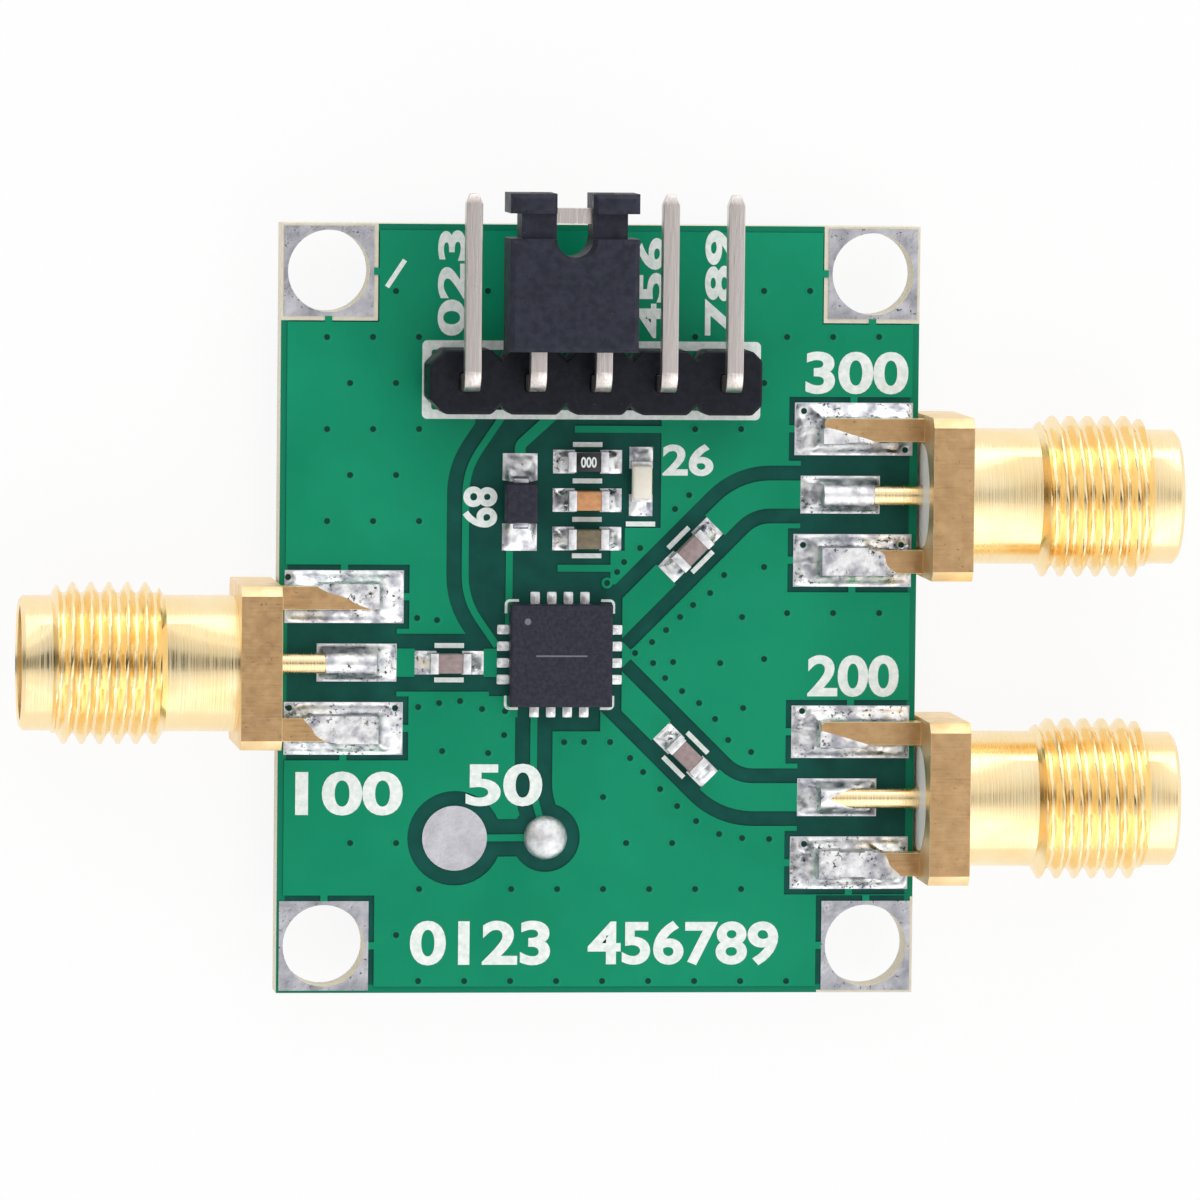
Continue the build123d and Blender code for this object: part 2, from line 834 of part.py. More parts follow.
def resistor_coat():
    """The dark coat on the resistor's upper face, between its end caps."""
    level = land_top + resistor_height - end_cap_wall
    coat = Rectangle(part_length - 2 * end_cap_length, part_width - 2 * end_cap_wall)
    return part_frames["bias_resistor"] * slab(coat, level, resistor_coat_height)


def lamp_lens():
    """The moulded lens on the lamp's base, with sloping ends."""
    level = land_top + lamp_base_height
    lens = extrude(Rectangle(lamp_lens_length, part_width), amount=lamp_height - lamp_base_height,
                   taper=lamp_slope)
    return part_frames["indicator_lamp"] * Pos(0, 0, level) * lens


def part_solder():
    """Solder at both ends of each chip part and of the diode."""
    fillets = []
    reach = (part_land_span - part_length) / 2
    for name, frame in part_frames.items():
        climb = climb_share * part_heights[name]
        fillet_shape = Pos(part_length / 2, 0, land_top) * wedge(reach, part_width, climb)
        fillets += [frame * Rot(0, 0, turn) * fillet_shape for turn in (0, 180)]
    reach = (diode_land_span - diode_span) / 2
    fillet_shape = Pos(diode_span / 2, 0, land_top) * wedge(reach, diode_land_width, diode_solder_height)
    fillets += [diode_frame * Rot(0, 0, turn) * fillet_shape for turn in (0, 180)]
    return solids_of(fillets)


def diode_lead():
    """One bent lead along +X: out of the body, down to the land and along it to a foot."""
    half = diode_lead_thickness / 2
    level = diode_stand + diode_body_height / 2
    knee = diode_body_length / 2 + diode_lead_knee
    route = [(0, level), (knee, level), (knee, half), (diode_span / 2, half)]
    strip = path_strip(route, diode_lead_thickness, diode_lead_bend)
    return Pos(0, 0, land_top) * extrude(Plane.XZ * strip, amount=diode_lead_width / 2, both=True)


def diode_leads():
    """Both leads, with a gap between their inner ends inside the body."""
    lead = diode_lead() - Box(diode_lead_gap, 2 * diode_body_width, 2 * (board_thickness + overrun))
    return diode_frame * solids_of([Rot(0, 0, turn) * lead for turn in (0, 180)])


def diode_body():
    """The moulded diode body: both halves slope in from the leads' level."""
    outline = Rectangle(diode_body_length, diode_body_width)
    half = diode_body_height / 2
    body = extrude(outline, amount=half, taper=diode_slope)
    body += Rot(180, 0, 0) * extrude(outline, amount=half, taper=diode_slope)
    body = diode_frame * Pos(0, 0, land_top + diode_stand + half) * body
    return body - diode_leads()


nodes = {
    "circuit_board": circuit_board(),
    "top_ground_copper": top_ground_copper(),
    "bottom_ground_copper": bottom_ground_copper(),
    "common_line": coaxial_line(common_route, "common_capacitor"),
    "upper_line": coaxial_line(upper_route, "upper_capacitor"),
    "lower_line": coaxial_line(lower_route, "lower_capacitor"),
    "control_traces": control_traces(),
    "mounting_lands": mounting_lands(),
    "port_lands": port_lands(),
    "header_lands": header_lands(),
    "switch_chip_lands": switch_chip_lands(),
    "part_lands": part_lands(),
    "enable_lands": enable_lands(),
    "enable_solder": enable_solder(),
    "header_body": header_body(),
    "header_solder": header_solder(),
    "jumper_housing": jumper_housing(),
    "jumper_clip": jumper_clip(),
    "switch_chip_body": switch_chip_body(),
    "switch_chip_leads": switch_chip_leads(),
    "switch_chip_paddle": chip_paddle(),
    "switch_chip_solder": switch_chip_solder(),
    "bias_resistor_coat": resistor_coat(),
    "indicator_lamp_lens": lamp_lens(),
    "diode_body": diode_body(),
    "diode_leads": diode_leads(),
    "part_solder": part_solder(),
}
for port in ports:
    nodes[port + "_shell"] = port_frame(port) * jack_shell()
    nodes[port + "_insulator"] = port_frame(port) * jack_insulator()
    nodes[port + "_contact"] = port_frame(port) * jack_contact()
    nodes[port + "_solder"] = port_solder(port)
for index, place in enumerate(pin_places(), 1):
    nodes["header_pin_" + str(index)] = header_pin(place)
for name in part_frames:
    nodes[name + "_body"] = part_body(name)
    nodes[name + "_ends"] = part_ends(name)

os.makedirs("parts", exist_ok=True)
for name, shape in nodes.items():
    export_step(shape, "parts/" + name + ".step")
print(len(nodes), "nodes")
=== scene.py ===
# Looks of a radio-frequency switch board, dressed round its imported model.
# Lengths are millimetres until a mesh is made, and colours are screen values from 0 to 255.

import json
import math

import bmesh
import bpy
from mathutils import Matrix, Vector, noise
from mathutils.bvhtree import BVHTree

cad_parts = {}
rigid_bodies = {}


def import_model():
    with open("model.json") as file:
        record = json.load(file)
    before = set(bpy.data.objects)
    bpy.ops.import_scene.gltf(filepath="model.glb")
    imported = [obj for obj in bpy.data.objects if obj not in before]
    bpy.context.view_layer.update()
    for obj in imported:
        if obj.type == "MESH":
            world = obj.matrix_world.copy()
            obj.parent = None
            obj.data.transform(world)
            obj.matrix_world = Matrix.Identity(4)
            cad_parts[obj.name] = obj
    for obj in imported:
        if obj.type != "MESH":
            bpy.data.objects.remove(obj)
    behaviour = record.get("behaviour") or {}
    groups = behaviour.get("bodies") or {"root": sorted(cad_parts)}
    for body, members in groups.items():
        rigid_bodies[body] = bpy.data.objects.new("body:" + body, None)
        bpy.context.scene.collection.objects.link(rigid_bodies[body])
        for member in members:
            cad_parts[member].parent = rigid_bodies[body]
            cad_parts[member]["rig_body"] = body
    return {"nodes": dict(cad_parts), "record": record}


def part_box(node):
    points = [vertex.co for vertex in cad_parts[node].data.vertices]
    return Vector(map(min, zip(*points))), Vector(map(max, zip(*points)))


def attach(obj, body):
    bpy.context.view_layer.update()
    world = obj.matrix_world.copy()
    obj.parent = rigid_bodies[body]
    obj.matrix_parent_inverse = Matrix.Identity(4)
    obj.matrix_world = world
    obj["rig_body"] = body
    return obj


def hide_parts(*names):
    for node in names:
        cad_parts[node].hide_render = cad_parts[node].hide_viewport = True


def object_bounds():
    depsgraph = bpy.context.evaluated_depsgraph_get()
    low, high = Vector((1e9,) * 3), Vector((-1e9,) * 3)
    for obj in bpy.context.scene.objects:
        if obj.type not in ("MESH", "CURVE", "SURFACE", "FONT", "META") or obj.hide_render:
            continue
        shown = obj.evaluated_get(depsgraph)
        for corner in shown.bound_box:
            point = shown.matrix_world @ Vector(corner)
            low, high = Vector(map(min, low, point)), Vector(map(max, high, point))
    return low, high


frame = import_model()
cad_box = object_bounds()

MM = 0.001
UP = Vector((0, 0, 1))

# Camera, fitted to the board's corners and the jacks' tips in the photograph
photo_size = 1200
photo_focal = 10306
sensor_width = 36
camera_place = Vector((-45, 27, 400))
camera_aim = Vector((0.058, 0.381, 1.6))
camera_roll = math.radians(0.58)

# Studio: two large soft lamps, and a floor far wider than the board
floor_side = 4000
floor_cells = 8
floor_drop = 0.02
floor_glow = 0.9
floor_paint = 0.92
key_place = Vector((-220, 420, 480))
key_side = 420
key_power = 0.4
fill_place = Vector((260, -380, 420))
fill_side = 420
fill_power = 0.2

# Brightness of the studio from behind the board (-Y, at 0) to in front of it (+Y, at 1)
studio_bands = [
    (0.0, 1.3), (0.33, 1.15), (0.45, 0.78), (0.54, 0.7), (0.67, 0.8), (0.86, 0.9), (0.92, 1.8), (1.0, 1.8),
]

# Dark card overhead, by the direction to it: its middle and half width along Y, and where it ends along X
card_middle = 0.05
card_half_width = 0.135
card_fade = 0.035
card_start = 0.085
card_end = 0.13
card_level = 0.02

# Brightness of the studio to the left and to the right, and where overhead it changes along X
left_level = 0.8
right_level = 1.3
side_start = 0.06
side_end = 0.16

# Usual spread of a cloudy value in a material
cloud_low = 0.3
cloud_high = 0.7

# Meshes
weld_distance = 0.002
flat_angle = math.radians(1)
sharp_angle = math.radians(28)
smooth_angle = math.radians(36)
bevel_steps = 2

# Rounding of the rigid pieces
softened_nodes = {
    "circuit_board": 0.04,
    "header_body": 0.1,
    "jumper_housing": 0.1,
    "jumper_clip": 0.05,
    "switch_chip_body": 0.05,
    "diode_body": 0.08,
    "diode_leads": 0.05,
    "indicator_lamp_lens": 0.1,
    "bias_resistor_coat": 0.015,
}
chip_bevel = 0.05
pin_bevel = 0.035
pin_count = 5

# Chip parts: on the coaxial lines, in the column over the switch chip, and all that have two ends
line_stems = ("common_capacitor", "upper_capacitor", "lower_capacitor")
column_stems = ("bias_resistor", "first_bypass_capacitor", "second_bypass_capacitor")
chip_stems = line_stems + column_stems + ("indicator_lamp",)

# Lands of even tin
plain_lands = ("port_lands", "part_lands", "switch_chip_lands", "enable_lands")

# Jack barrels, measured outwards from the flange's outer face
flange_thickness = 1.6
flange_bevel = 0.05
brushed_tilt = 0.95
neck_radius = 2.65
neck_length = 2.8
crest_radius = 3.15
thread_length = 4.4
inch = 25.4
threads_per_inch = 36
thread_pitch = inch / threads_per_inch
thread_depth = 0.42
thread_bevel = 0.3
crest_share = 0.14
root_share = 0.2
thread_steps = 12
pilot_radius = 2.625
pilot_bevel = 0.15
mouth_radius = 2.3
barrel_sides = 96

# Solder lumps: their grid, how far their ends and sides draw in, and how uneven they are
solder_step = 0.06
solder_least_steps = 6
solder_end_draw = 0.03
solder_end_curve = 4
solder_side_draw = 0.06
solder_side_curve = 8
solder_shoulder = 0.3
solder_root = 0.02
lump_height = 0.06
lump_size = 0.7
ripple_height = 0.03
ripple_size = 0.25

# Jack legs and tails under their solder
leg_side = 0.9
tail_diameter = 0.8
solder_film = 0.035
solder_wrap = 0.09
solder_depth = 0.1
solder_climb = 0.34
solder_spread = 0.24
solder_reach = 0.11
solder_fade = 0.35
solder_wet_climb = 0.2
wet_edge_depth = 0.2
wet_edge_size = 0.5
leg_edge_stretch = 2
wet_flank = 0.9
port_seed = 7.3

# How far the solder wets each leg from its end, at the leg's middle and per half width towards +Y,
# and how far it wets the round tail
wetting = {
    "common": {"upper": (1.3, 1.1), "lower": (2.45, 0.45), "tail": 3.2},
    "upper": {"upper": (0.5, -1.5), "lower": (2.5, -0.3), "tail": 2.4},
    "lower": {"upper": (0.4, -1.5), "lower": (2.8, -0.3), "tail": 0.4},
}

# Solder at the ends of the chip parts, out from the part's middle
part_half_length = 0.8
part_land_half_span = 1.35
part_land_width = 0.92
part_climb = 0.3
other_climbs = {"bias_resistor": 0.22, "indicator_lamp": 0.18}
diode_half_length = 0.82
diode_land_half_span = 1.9
diode_land_width = 1.36
diode_climb = 0.42
fillet_waist = 0.45
fillet_curve = 1.7
fillet_foot = 0.7
fillet_seeds = (3.1, 5.7)
toe_climb = 0.21
toe_fall = 0.1
dome_rings = 12
cone_rings = 8
cone_tip_radius = 0.5

# White print and the coated surface that carries it
print_height = 0.014
print_width = 0.19
header_print_pixels = ((421.8, 418.7), (761, 342))
header_print_width = 0.36
header_print_corner = 0.2
print_corner_steps = 5
bar_length = 1.15
bar_offset = 0.67
lamp_bar_offset = 1.66
slash_pixels = ((387, 287), (405, 260))
corner_print_margin = 0.16
corner_print_arm = 0.55
corner_print_width = 0.1
corner_print_bend = 0.2
chip_dot_inset = 0.66
chip_dot_radius = 0.13
chip_rule_length = 2.0
chip_rule_width = 0.06
number_length = 0.62
number_height = 0.42

# Numerals, and their places: text, pixel column and row of the middle, length, height, quarter turns
numeral_weight = 0.03
numeral_depth = 0.5
numeral_margin = 0.35
numeral_steps = 6
numeral_places = [
    ("100", 349, 793.5, 4.2, 1.72, 0),
    ("300", 857, 373, 4.05, 1.66, 0),
    ("200", 853, 676, 3.6, 1.64, 0),
    ("50", 504, 785, 3.0, 1.66, 0),
    ("89", 480, 507, 1.6, 1.35, -1),
    ("26", 688, 460, 2.0, 1.25, 0),
    ("023", 452, 283, 4.1, 1.1, 1),
    ("456", 651, 288, 3.9, 1.1, 1),
    ("789", 719, 283, 4.1, 1.1, 1),
    ("0123", 480, 943, 5.5, 1.75, 0),
    ("456789", 683, 943, 7.5, 1.75, 0),
]

# Plated holes
via_rim_radius = 0.22
via_lip_radius = 0.17
via_hole_radius = 0.12
via_lip_height = 0.016
via_clearance = 0.3
via_spacing = 1.2
via_edge = 1.25
via_sides = 16

# Their places as pixels: in the jacks' lands, in fences beside the lines, in a grid, and in a row at the edge
land_hole_pixels = [
    (804, 411), (905, 450), (803, 545), (901, 545), (802, 711), (804, 844),
    (288, 577), (289, 708), (395, 708),
]
fence_pixels = [
    (724, 575), (710, 593), (693, 605), (680, 617), (666, 630), (652, 642), (635, 653),
    (653, 663), (673, 662), (720, 663), (742, 617), (743, 708),
    (665, 678), (682, 691), (699, 703), (715, 719), (728, 740), (751, 752),
    (564, 742), (584, 742), (610, 742), (630, 758), (643, 772), (660, 789),
    (677, 806), (696, 821), (719, 834), (742, 838), (769, 839),
    (418, 707), (439, 703), (460, 701), (482, 709), (505, 711), (504, 735), (488, 753),
    (417, 618), (437, 620), (607, 583), (617, 572), (624, 562), (640, 548), (675, 509), (689, 495),
]
grid_pixel = (419, 889)
grid_pitch = 46
grid_reach = 20
edge_row_pixel = (418, 981)
edge_row_count = 9

# Bare laminate round the mounting lands, by corner: the sides of the land that show it
laminate_margin = 0.17
mounting_land_side = 3.5
land_sides = ("outer_x", "outer_y", "inner_x", "inner_y")
bare_sides = {(-1, 1): land_sides, (1, 1): land_sides, (1, -1): land_sides[:2]}

# Rim of the board that the copper leaves free, where the coating looks lighter
rim_width = 0.3
rim_fade = 0.05


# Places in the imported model

def box_of(node):
    """Lowest and highest corner of a node."""
    low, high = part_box(node)
    return low / MM, high / MM


def middle_of(node):
    """Middle of a node's box."""
    low, high = box_of(node)
    return (low + high) / 2


def end_x(node, side):
    """Where a node ends along X, towards +X or -X."""
    low, high = box_of(node)
    return high.x if side > 0 else low.x


def box_round(points):
    """Lowest and highest corner of the box round points."""
    low = Vector([min(p[k] for p in points) for k in range(3)])
    high = Vector([max(p[k] for p in points) for k in range(3)])
    return low, high


slot_of = {entry["node"]: entry["material_slot"] for entry in frame["record"]["subparts"]}
board_low, board_high = box_of("circuit_board")
under_level, land_level = [corner.z for corner in box_of("port_lands")]
print_level = land_level + print_height


# Camera frame

def look_at(place, aim, roll):
    """Rotation of a camera at place that looks at aim with the board's +Y up the picture."""
    back = (place - aim).normalized()
    right = Vector((0, 1, 0)).cross(back).normalized()
    turn = Matrix((right, back.cross(right), back)).transposed()
    return turn @ Matrix.Rotation(roll, 3, "Z")


camera_turn = look_at(camera_place, camera_aim, camera_roll)


def on_board(column, row):
    """Point of the coated component side that is seen at a pixel of the photograph."""
    half = photo_size / 2
    ray = camera_turn @ Vector((column - half, half - row, -photo_focal))
    return camera_place + ray * ((land_level - camera_place.z) / ray.z)


land_holes = [on_board(*pixel) for pixel in land_hole_pixels]


# Shader nodes

def linear(colour):
    """Linear colour from 0 to 255 screen values."""
    shares = [value / 255 for value in colour]
    return [s / 12.92 if s <= 0.04045 else ((s + 0.055) / 1.055) ** 2.4 for s in shares]


def is_link(value):
    """Whether a value is another node's output."""
    return isinstance(value, bpy.types.NodeSocket)


def paint(colour):
    """Screen colour as a shader takes it; a link stays as it is."""
    return colour if is_link(colour) else (*linear(colour), 1)


def put(tree, node, inputs):
    """Put values or links on a node's inputs, by name or number."""
    for key, value in inputs.items():
        if is_link(value):
            tree.links.new(value, node.inputs[key])
        else:
            node.inputs[key].default_value = value


def add_node(tree, kind, inputs, **settings):
    """New shader node with values or links on its inputs."""
    node = tree.nodes.new("ShaderNode" + kind)
    for key, value in settings.items():
        setattr(node, key, value)
    put(tree, node, inputs)
    return node


def add_math(tree, operation, *values):
    """Result of an operation on one or two values."""
    return add_node(tree, "Math", dict(enumerate(values)), operation=operation).outputs[0]


def add_span(tree, value, low, high, start=0.0, end=1.0):
    """Value remapped from low..high to start..end, and held there."""
    inputs = {"Value": value, "From Min": low, "From Max": high, "To Min": start, "To Max": end}
    return add_node(tree, "MapRange", inputs).outputs["Result"]


class Surface:
    """A material with one principled shader, and short calls that add the nodes that feed it."""

    def __init__(self, name, colour, roughness, metallic=0.0, specular=0.5):
        self.material = bpy.data.materials.new(name)
        self.material.use_nodes = True
        self.tree = self.material.node_tree
        self.shader = self.tree.nodes["Principled BSDF"]
        self.normal = None
        self.feed("Base Color", paint(colour))
        self.feed("Roughness", roughness)
        self.feed("Metallic", metallic)
        self.feed("Specular IOR Level", specular)

    def feed(self, socket, value):
        """Put a value or a link on the shader."""
        put(self.tree, self.shader, {socket: value})

    def place(self, stretch=(1, 1, 1)):
        """The piece's own coordinates in millimetres, stretched along its axes."""
        source = add_node(self.tree, "TexCoord", {}).outputs["Object"]
        scale = [1 / (MM * part) for part in stretch]
        return add_node(self.tree, "Mapping", {"Vector": source, "Scale": scale}).outputs["Vector"]

    def noise(self, size, detail=3.0, stretch=(1, 1, 1)):
        """Cloudy value from 0 to 1 with patches about as large as size."""
        inputs = {"Vector": self.place(stretch), "Scale": 1 / size, "Detail": detail}
        return add_node(self.tree, "TexNoise", inputs).outputs["Fac"]

    def blend(self, share, first, second):
        """Colour that goes from first to second with share; each is a colour or a link."""
        # A mix node takes its colours on inputs 6 and 7, and gives the result on output 2
        inputs = {0: share, 6: paint(first), 7: paint(second)}
        return add_node(self.tree, "Mix", inputs, data_type="RGBA").outputs[2]

    def fade(self, value, first, second, low=cloud_low, high=cloud_high, most=1.0):
        """Colour that goes from first towards second as a value rises from low to high."""
        return self.blend(add_span(self.tree, value, low, high, 0.0, most), first, second)

    def tint(self, *fading):
        """Base colour, faded by a value."""
        self.feed("Base Color", self.fade(*fading))

    def gloss(self, value, start, end, low=cloud_low, high=cloud_high):
        """Roughness from start to end as a value rises from low to high."""
        self.feed("Roughness", add_span(self.tree, value, low, high, start, end))

    def cloud(self, size, first, second):
        """Base colour in soft clouds of a size."""
        self.feed("Base Color", self.blend(self.noise(size), first, second))

    def milky(self, weight, reach):
        """Let a share of the light into the surface, as far as reach."""
        self.feed("Subsurface Weight", weight)
        self.feed("Subsurface Scale", reach * MM)

    def bump(self, height, depth):
        """Relief of a depth in millimetres, added to the relief so far."""
        inputs = {"Height": height, "Distance": depth * MM, "Strength": 1.0}
        if self.normal:
            inputs["Normal"] = self.normal
        self.normal = add_node(self.tree, "Bump", inputs).outputs["Normal"]
        self.feed("Normal", self.normal)


# Materials

def coated_copper():
    """Green coating over copper, a little uneven in tone."""
    s = Surface("coated_copper", (14, 140, 102), 0.34, specular=0.12)
    s.tint(s.noise(5.0), (9, 134, 97), (18, 146, 107))
    s.gloss(s.noise(1.4), 0.28, 0.42)
    s.bump(s.noise(0.35), 0.004)
    return s.material


def coated_board():
    """Dark green coating, lighter at the rim, and bare glass cloth on the cut edges."""
    s = Surface("coated_board", (14, 76, 68), 0.36, specular=0.12)
    inner = s.fade(s.noise(1.1), (11, 70, 62), (18, 84, 74))
    place = add_node(s.tree, "SeparateXYZ", {0: s.place()}).outputs
    rims = []
    for axis, reach in (("X", board_high.x), ("Y", board_high.y)):
        out = add_math(s.tree, "ABSOLUTE", place[axis])
        rims.append(add_span(s.tree, out, reach - rim_width - rim_fade, reach - rim_width))
    coat = s.blend(add_math(s.tree, "MAXIMUM", *rims), inner, (14, 124, 93))
    plies = s.noise(0.11, 2.0, (26, 26, 1))
    cloth = s.fade(plies, (224, 215, 188), (236, 229, 208), 0.35, 0.65)
    edge = s.fade(s.noise(0.07), cloth, (206, 196, 168), 0.5, 0.72, 0.5)
    normal = add_node(s.tree, "TexCoord", {}).outputs["Normal"]
    rise = add_node(s.tree, "SeparateXYZ", {0: normal}).outputs["Z"]
    s.tint(add_math(s.tree, "ABSOLUTE", rise), edge, coat, 0.45, 0.55)
    s.bump(plies, 0.004)
    return s.material


def bare_laminate():
    """Uncoated laminate round the mounting lands."""
    s = Surface("bare_laminate", (222, 213, 192), 0.6)
    s.cloud(0.4, (206, 197, 174), (238, 231, 214))
    s.bump(s.noise(0.12), 0.006)
    return s.material


def tinned():
    """Dull tin plate with darker specks and smears of flux."""
    s = Surface("tinned", (200, 200, 206), 0.34, 1.0)
    base = s.fade(s.noise(0.9, 5.0), (212, 212, 218), (172, 172, 180), 0.38, 0.66)
    s.tint(s.noise(0.13, 4.0), base, (84, 82, 86), 0.64, 0.71)
    s.gloss(s.noise(0.5, 4.0), 0.25, 0.5)
    s.bump(s.noise(0.22, 4.0), 0.012)
    return s.material


def satin_tin():
    """Even satin tin plate of the lands under the parts and the round test land."""
    s = Surface("satin_tin", (214, 213, 220), 0.4, 1.0)
    s.tint(s.noise(0.7, 4.0), (222, 221, 228), (200, 199, 206), 0.35, 0.7)
    s.gloss(s.noise(0.12, 2.0), 0.34, 0.48)
    s.bump(s.noise(0.1, 2.0), 0.004)
    return s.material


def solder():
    """Bright lumpy solder, with grey smears that are painted dark reflections, and clusters of dark specks
    that are painted shade of pits.
    """
    s = Surface("solder", (240, 240, 242), 0.45, 1.0)
    # Clusters of dark specks: painted shade of pits that the mesh does not have
    pit = add_span(s.tree, s.noise(0.14, 4.0), 0.55, 0.64)
    cluster = add_span(s.tree, s.noise(1.1, 2.0), 0.49, 0.6)
    painted_pit_shade = add_math(s.tree, "MULTIPLY", pit, cluster)
    # Grey smears on the bright solder: painted dark reflections
    bright = s.fade(s.noise(0.6), (250, 250, 251), (178, 178, 188), 0.44, 0.66)
    s.feed("Base Color", s.blend(painted_pit_shade, bright, (86, 84, 86)))
    s.gloss(s.noise(0.5), 0.26, 0.62, 0.35, 0.65)
    s.bump(s.noise(0.22, 4.0), 0.02)
    return s.material


def cap_metal():
    """Dull silver of the chip parts' end caps."""
    s = Surface("cap_metal", (236, 236, 238), 0.5, 1.0)
    s.tint(s.noise(0.25, 4.0), (244, 244, 245), (208, 208, 212), 0.35, 0.7)
    s.gloss(s.noise(0.2), 0.4, 0.62)
    s.bump(s.noise(0.1), 0.008)
    return s.material


def gold_turned():
    """Gold plate over turned brass, with faint tool lines round the barrel."""
    s = Surface("gold_turned", (255, 230, 180), 0.2, 1.0)
    s.tint(s.noise(1.6, 4.0), (255, 235, 190), (253, 224, 168))
    rings = s.noise(0.07, 2.0, (1, 60, 60))
    s.gloss(rings, 0.14, 0.3)
    s.bump(rings, 0.004)
    return s.material


def gold_faced():
    """Gold plate over sawn brass: the satin sides of the flanges."""
    s = Surface("gold_faced", (250, 222, 172), 0.4, 1.0)
    s.tint(s.noise(0.8, 4.0), (252, 226, 178), (240, 208, 156))
    s.gloss(s.noise(0.4), 0.34, 0.5)
    s.bump(s.noise(0.08), 0.004)
    return s.material


def gold_milled():
    """Gold plate over milled brass: mottled brown, with faint tool lines and small dark marks."""
    s = Surface("gold_milled", (206, 167, 121), 0.36, 1.0)
    base = s.fade(s.noise(0.45, 4.0), (214, 176, 129), (196, 157, 113))
    streak = s.noise(0.07, 2.0, (24, 1, 24))
    lined = s.fade(streak, base, (158, 122, 84), 0.56, 0.74, 0.35)
    s.tint(s.noise(0.11), lined, (104, 78, 54), 0.67, 0.74, 0.7)
    s.gloss(s.noise(0.3), 0.28, 0.46)
    s.bump(streak, 0.004)
    return s.material


def insulator():
    """White fluoroplastic, faintly mottled."""
    s = Surface("insulator", (244, 244, 241), 0.48)
    s.cloud(0.8, (238, 238, 235), (249, 249, 247))
    s.milky(0.12, 0.4)
    s.bump(s.noise(0.15), 0.004)
    return s.material


def moulded(name, dark, light, grain, roughness):
    """Moulded black plastic with a fine grain and pale specks of dust."""
    s = Surface(name, dark, roughness, specular=0.22)
    base = s.fade(s.noise(grain * 3, 4.0), dark, light, 0.35, 0.7)
    s.tint(s.noise(grain, 2.0), base, (120, 122, 132), 0.72, 0.8, 0.3)
    s.gloss(s.noise(grain * 4), roughness - 0.08, roughness + 0.1)
    s.bump(s.noise(grain), 0.006)
    return s.material


def pin_metal():
    """Tin plated pin with drawing marks along it."""
    s = Surface("pin_metal", (212, 204, 201), 0.32, 1.0)
    streak = s.noise(0.06, 3.0, (1, 40, 1))
    s.tint(streak, (230, 222, 218), (202, 192, 188))
    s.gloss(streak, 0.24, 0.42)
    s.bump(s.noise(0.1, 4.0, (1, 8, 1)), 0.005)
    return s.material


def ceramic(name, dark, light, roughness):
    """Fired ceramic or printed resin with a faint mottle."""
    s = Surface(name, dark, roughness)
    s.tint(s.noise(0.22, 4.0), dark, light)
    s.bump(s.noise(0.08), 0.004)
    return s.material


def lamp_lens():
    """Cloudy cream resin of the indicator lamp."""
    s = Surface("lamp_lens", (240, 235, 222), 0.32)
    s.cloud(0.3, (232, 225, 206), (248, 245, 234))
    s.milky(0.25, 0.2)
    s.bump(s.noise(0.2), 0.004)
    return s.material


def white_print():
    """White screen print, slightly uneven."""
    s = Surface("white_print", (240, 244, 241), 0.55)
    s.tint(s.noise(0.2, 4.0), (248, 250, 248), (214, 228, 221), 0.3, 0.75)
    s.bump(s.noise(0.07), 0.004)
    return s.material


def laser_print():
    """Grey marks burnt into the chip's top."""
    s = Surface("laser_print", (112, 110, 118), 0.7)
    s.cloud(0.06, (96, 94, 102), (132, 130, 138))
    return s.material


def via_shade():
    """Dark green over the plated holes: painted shade of the holes, on the coating that fills them."""
    s = Surface("via_shade", (10, 60, 48), 0.4, specular=0.12)
    # Dark green clouds: painted shade of the holes
    s.cloud(0.1, (6, 44, 36), (16, 76, 60))
    return s.material


finishes = {
    "coated_board": coated_board(),
    "coated_copper": coated_copper(),
    "tinned": tinned(),
    "solder": solder(),
    "gold_plate": gold_turned(),
    "insulator": insulator(),
    "header_plastic": moulded("header_plastic", (16, 18, 27), (28, 30, 41), 0.09, 0.42),
    "jumper_plastic": moulded("jumper_plastic", (34, 36, 48), (48, 50, 64), 0.1, 0.5),
    "pin_metal": pin_metal(),
    "chip_mould": moulded("chip_mould", (38, 39, 51), (53, 54, 67), 0.05, 0.5),
    "alumina": ceramic("alumina", (222, 220, 214), (240, 238, 232), 0.5),
    "resistor_coat": ceramic("resistor_coat", (22, 22, 26), (38, 38, 44), 0.3),
    "lamp_lens": lamp_lens(),
    "grey_ceramic": ceramic("grey_ceramic", (140, 122, 122), (166, 148, 146), 0.42),
    "tan_ceramic": ceramic("tan_ceramic", (196, 134, 84), (218, 160, 110), 0.42),
    "brown_ceramic": ceramic("brown_ceramic", (104, 94, 72), (130, 118, 94), 0.42),
}
plain_tin = satin_tin()
end_metal = cap_metal()
brushed_gold = gold_milled()
satin_gold = gold_faced()
laminate = bare_laminate()
print_white = white_print()
print_grey = laser_print()
painted_via_shade = via_shade()


# Pieces

def add_object(name, data):
    """New object in the scene."""
    thing = bpy.data.objects.new(name, data)
    bpy.context.scene.collection.objects.link(thing)
    return thing


def make_mesh(name, bm, materials):
    """Mesh of some materials from what was drawn."""
    mesh = bpy.data.meshes.new(name)
    bm.to_mesh(mesh)
    bm.free()
    for material in materials:
        mesh.materials.append(material)
    return mesh


def make_piece(name, bm, slot, nodes=(), materials=None, body="board"):
    """Object in metres from a mesh in millimetres, riding on a body and standing for nodes."""
    bmesh.ops.recalc_face_normals(bm, faces=bm.faces)
    bmesh.ops.scale(bm, vec=(MM, MM, MM), verts=bm.verts)
    mesh = make_mesh(name, bm, materials or [finishes[slot]])
    mesh.polygons.foreach_set("use_smooth", [True] * len(mesh.polygons))
    mesh.set_sharp_from_angle(angle=smooth_angle)
    piece = add_object(name, mesh)
    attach(piece, body)
    if nodes:
        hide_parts(*nodes)
    return piece


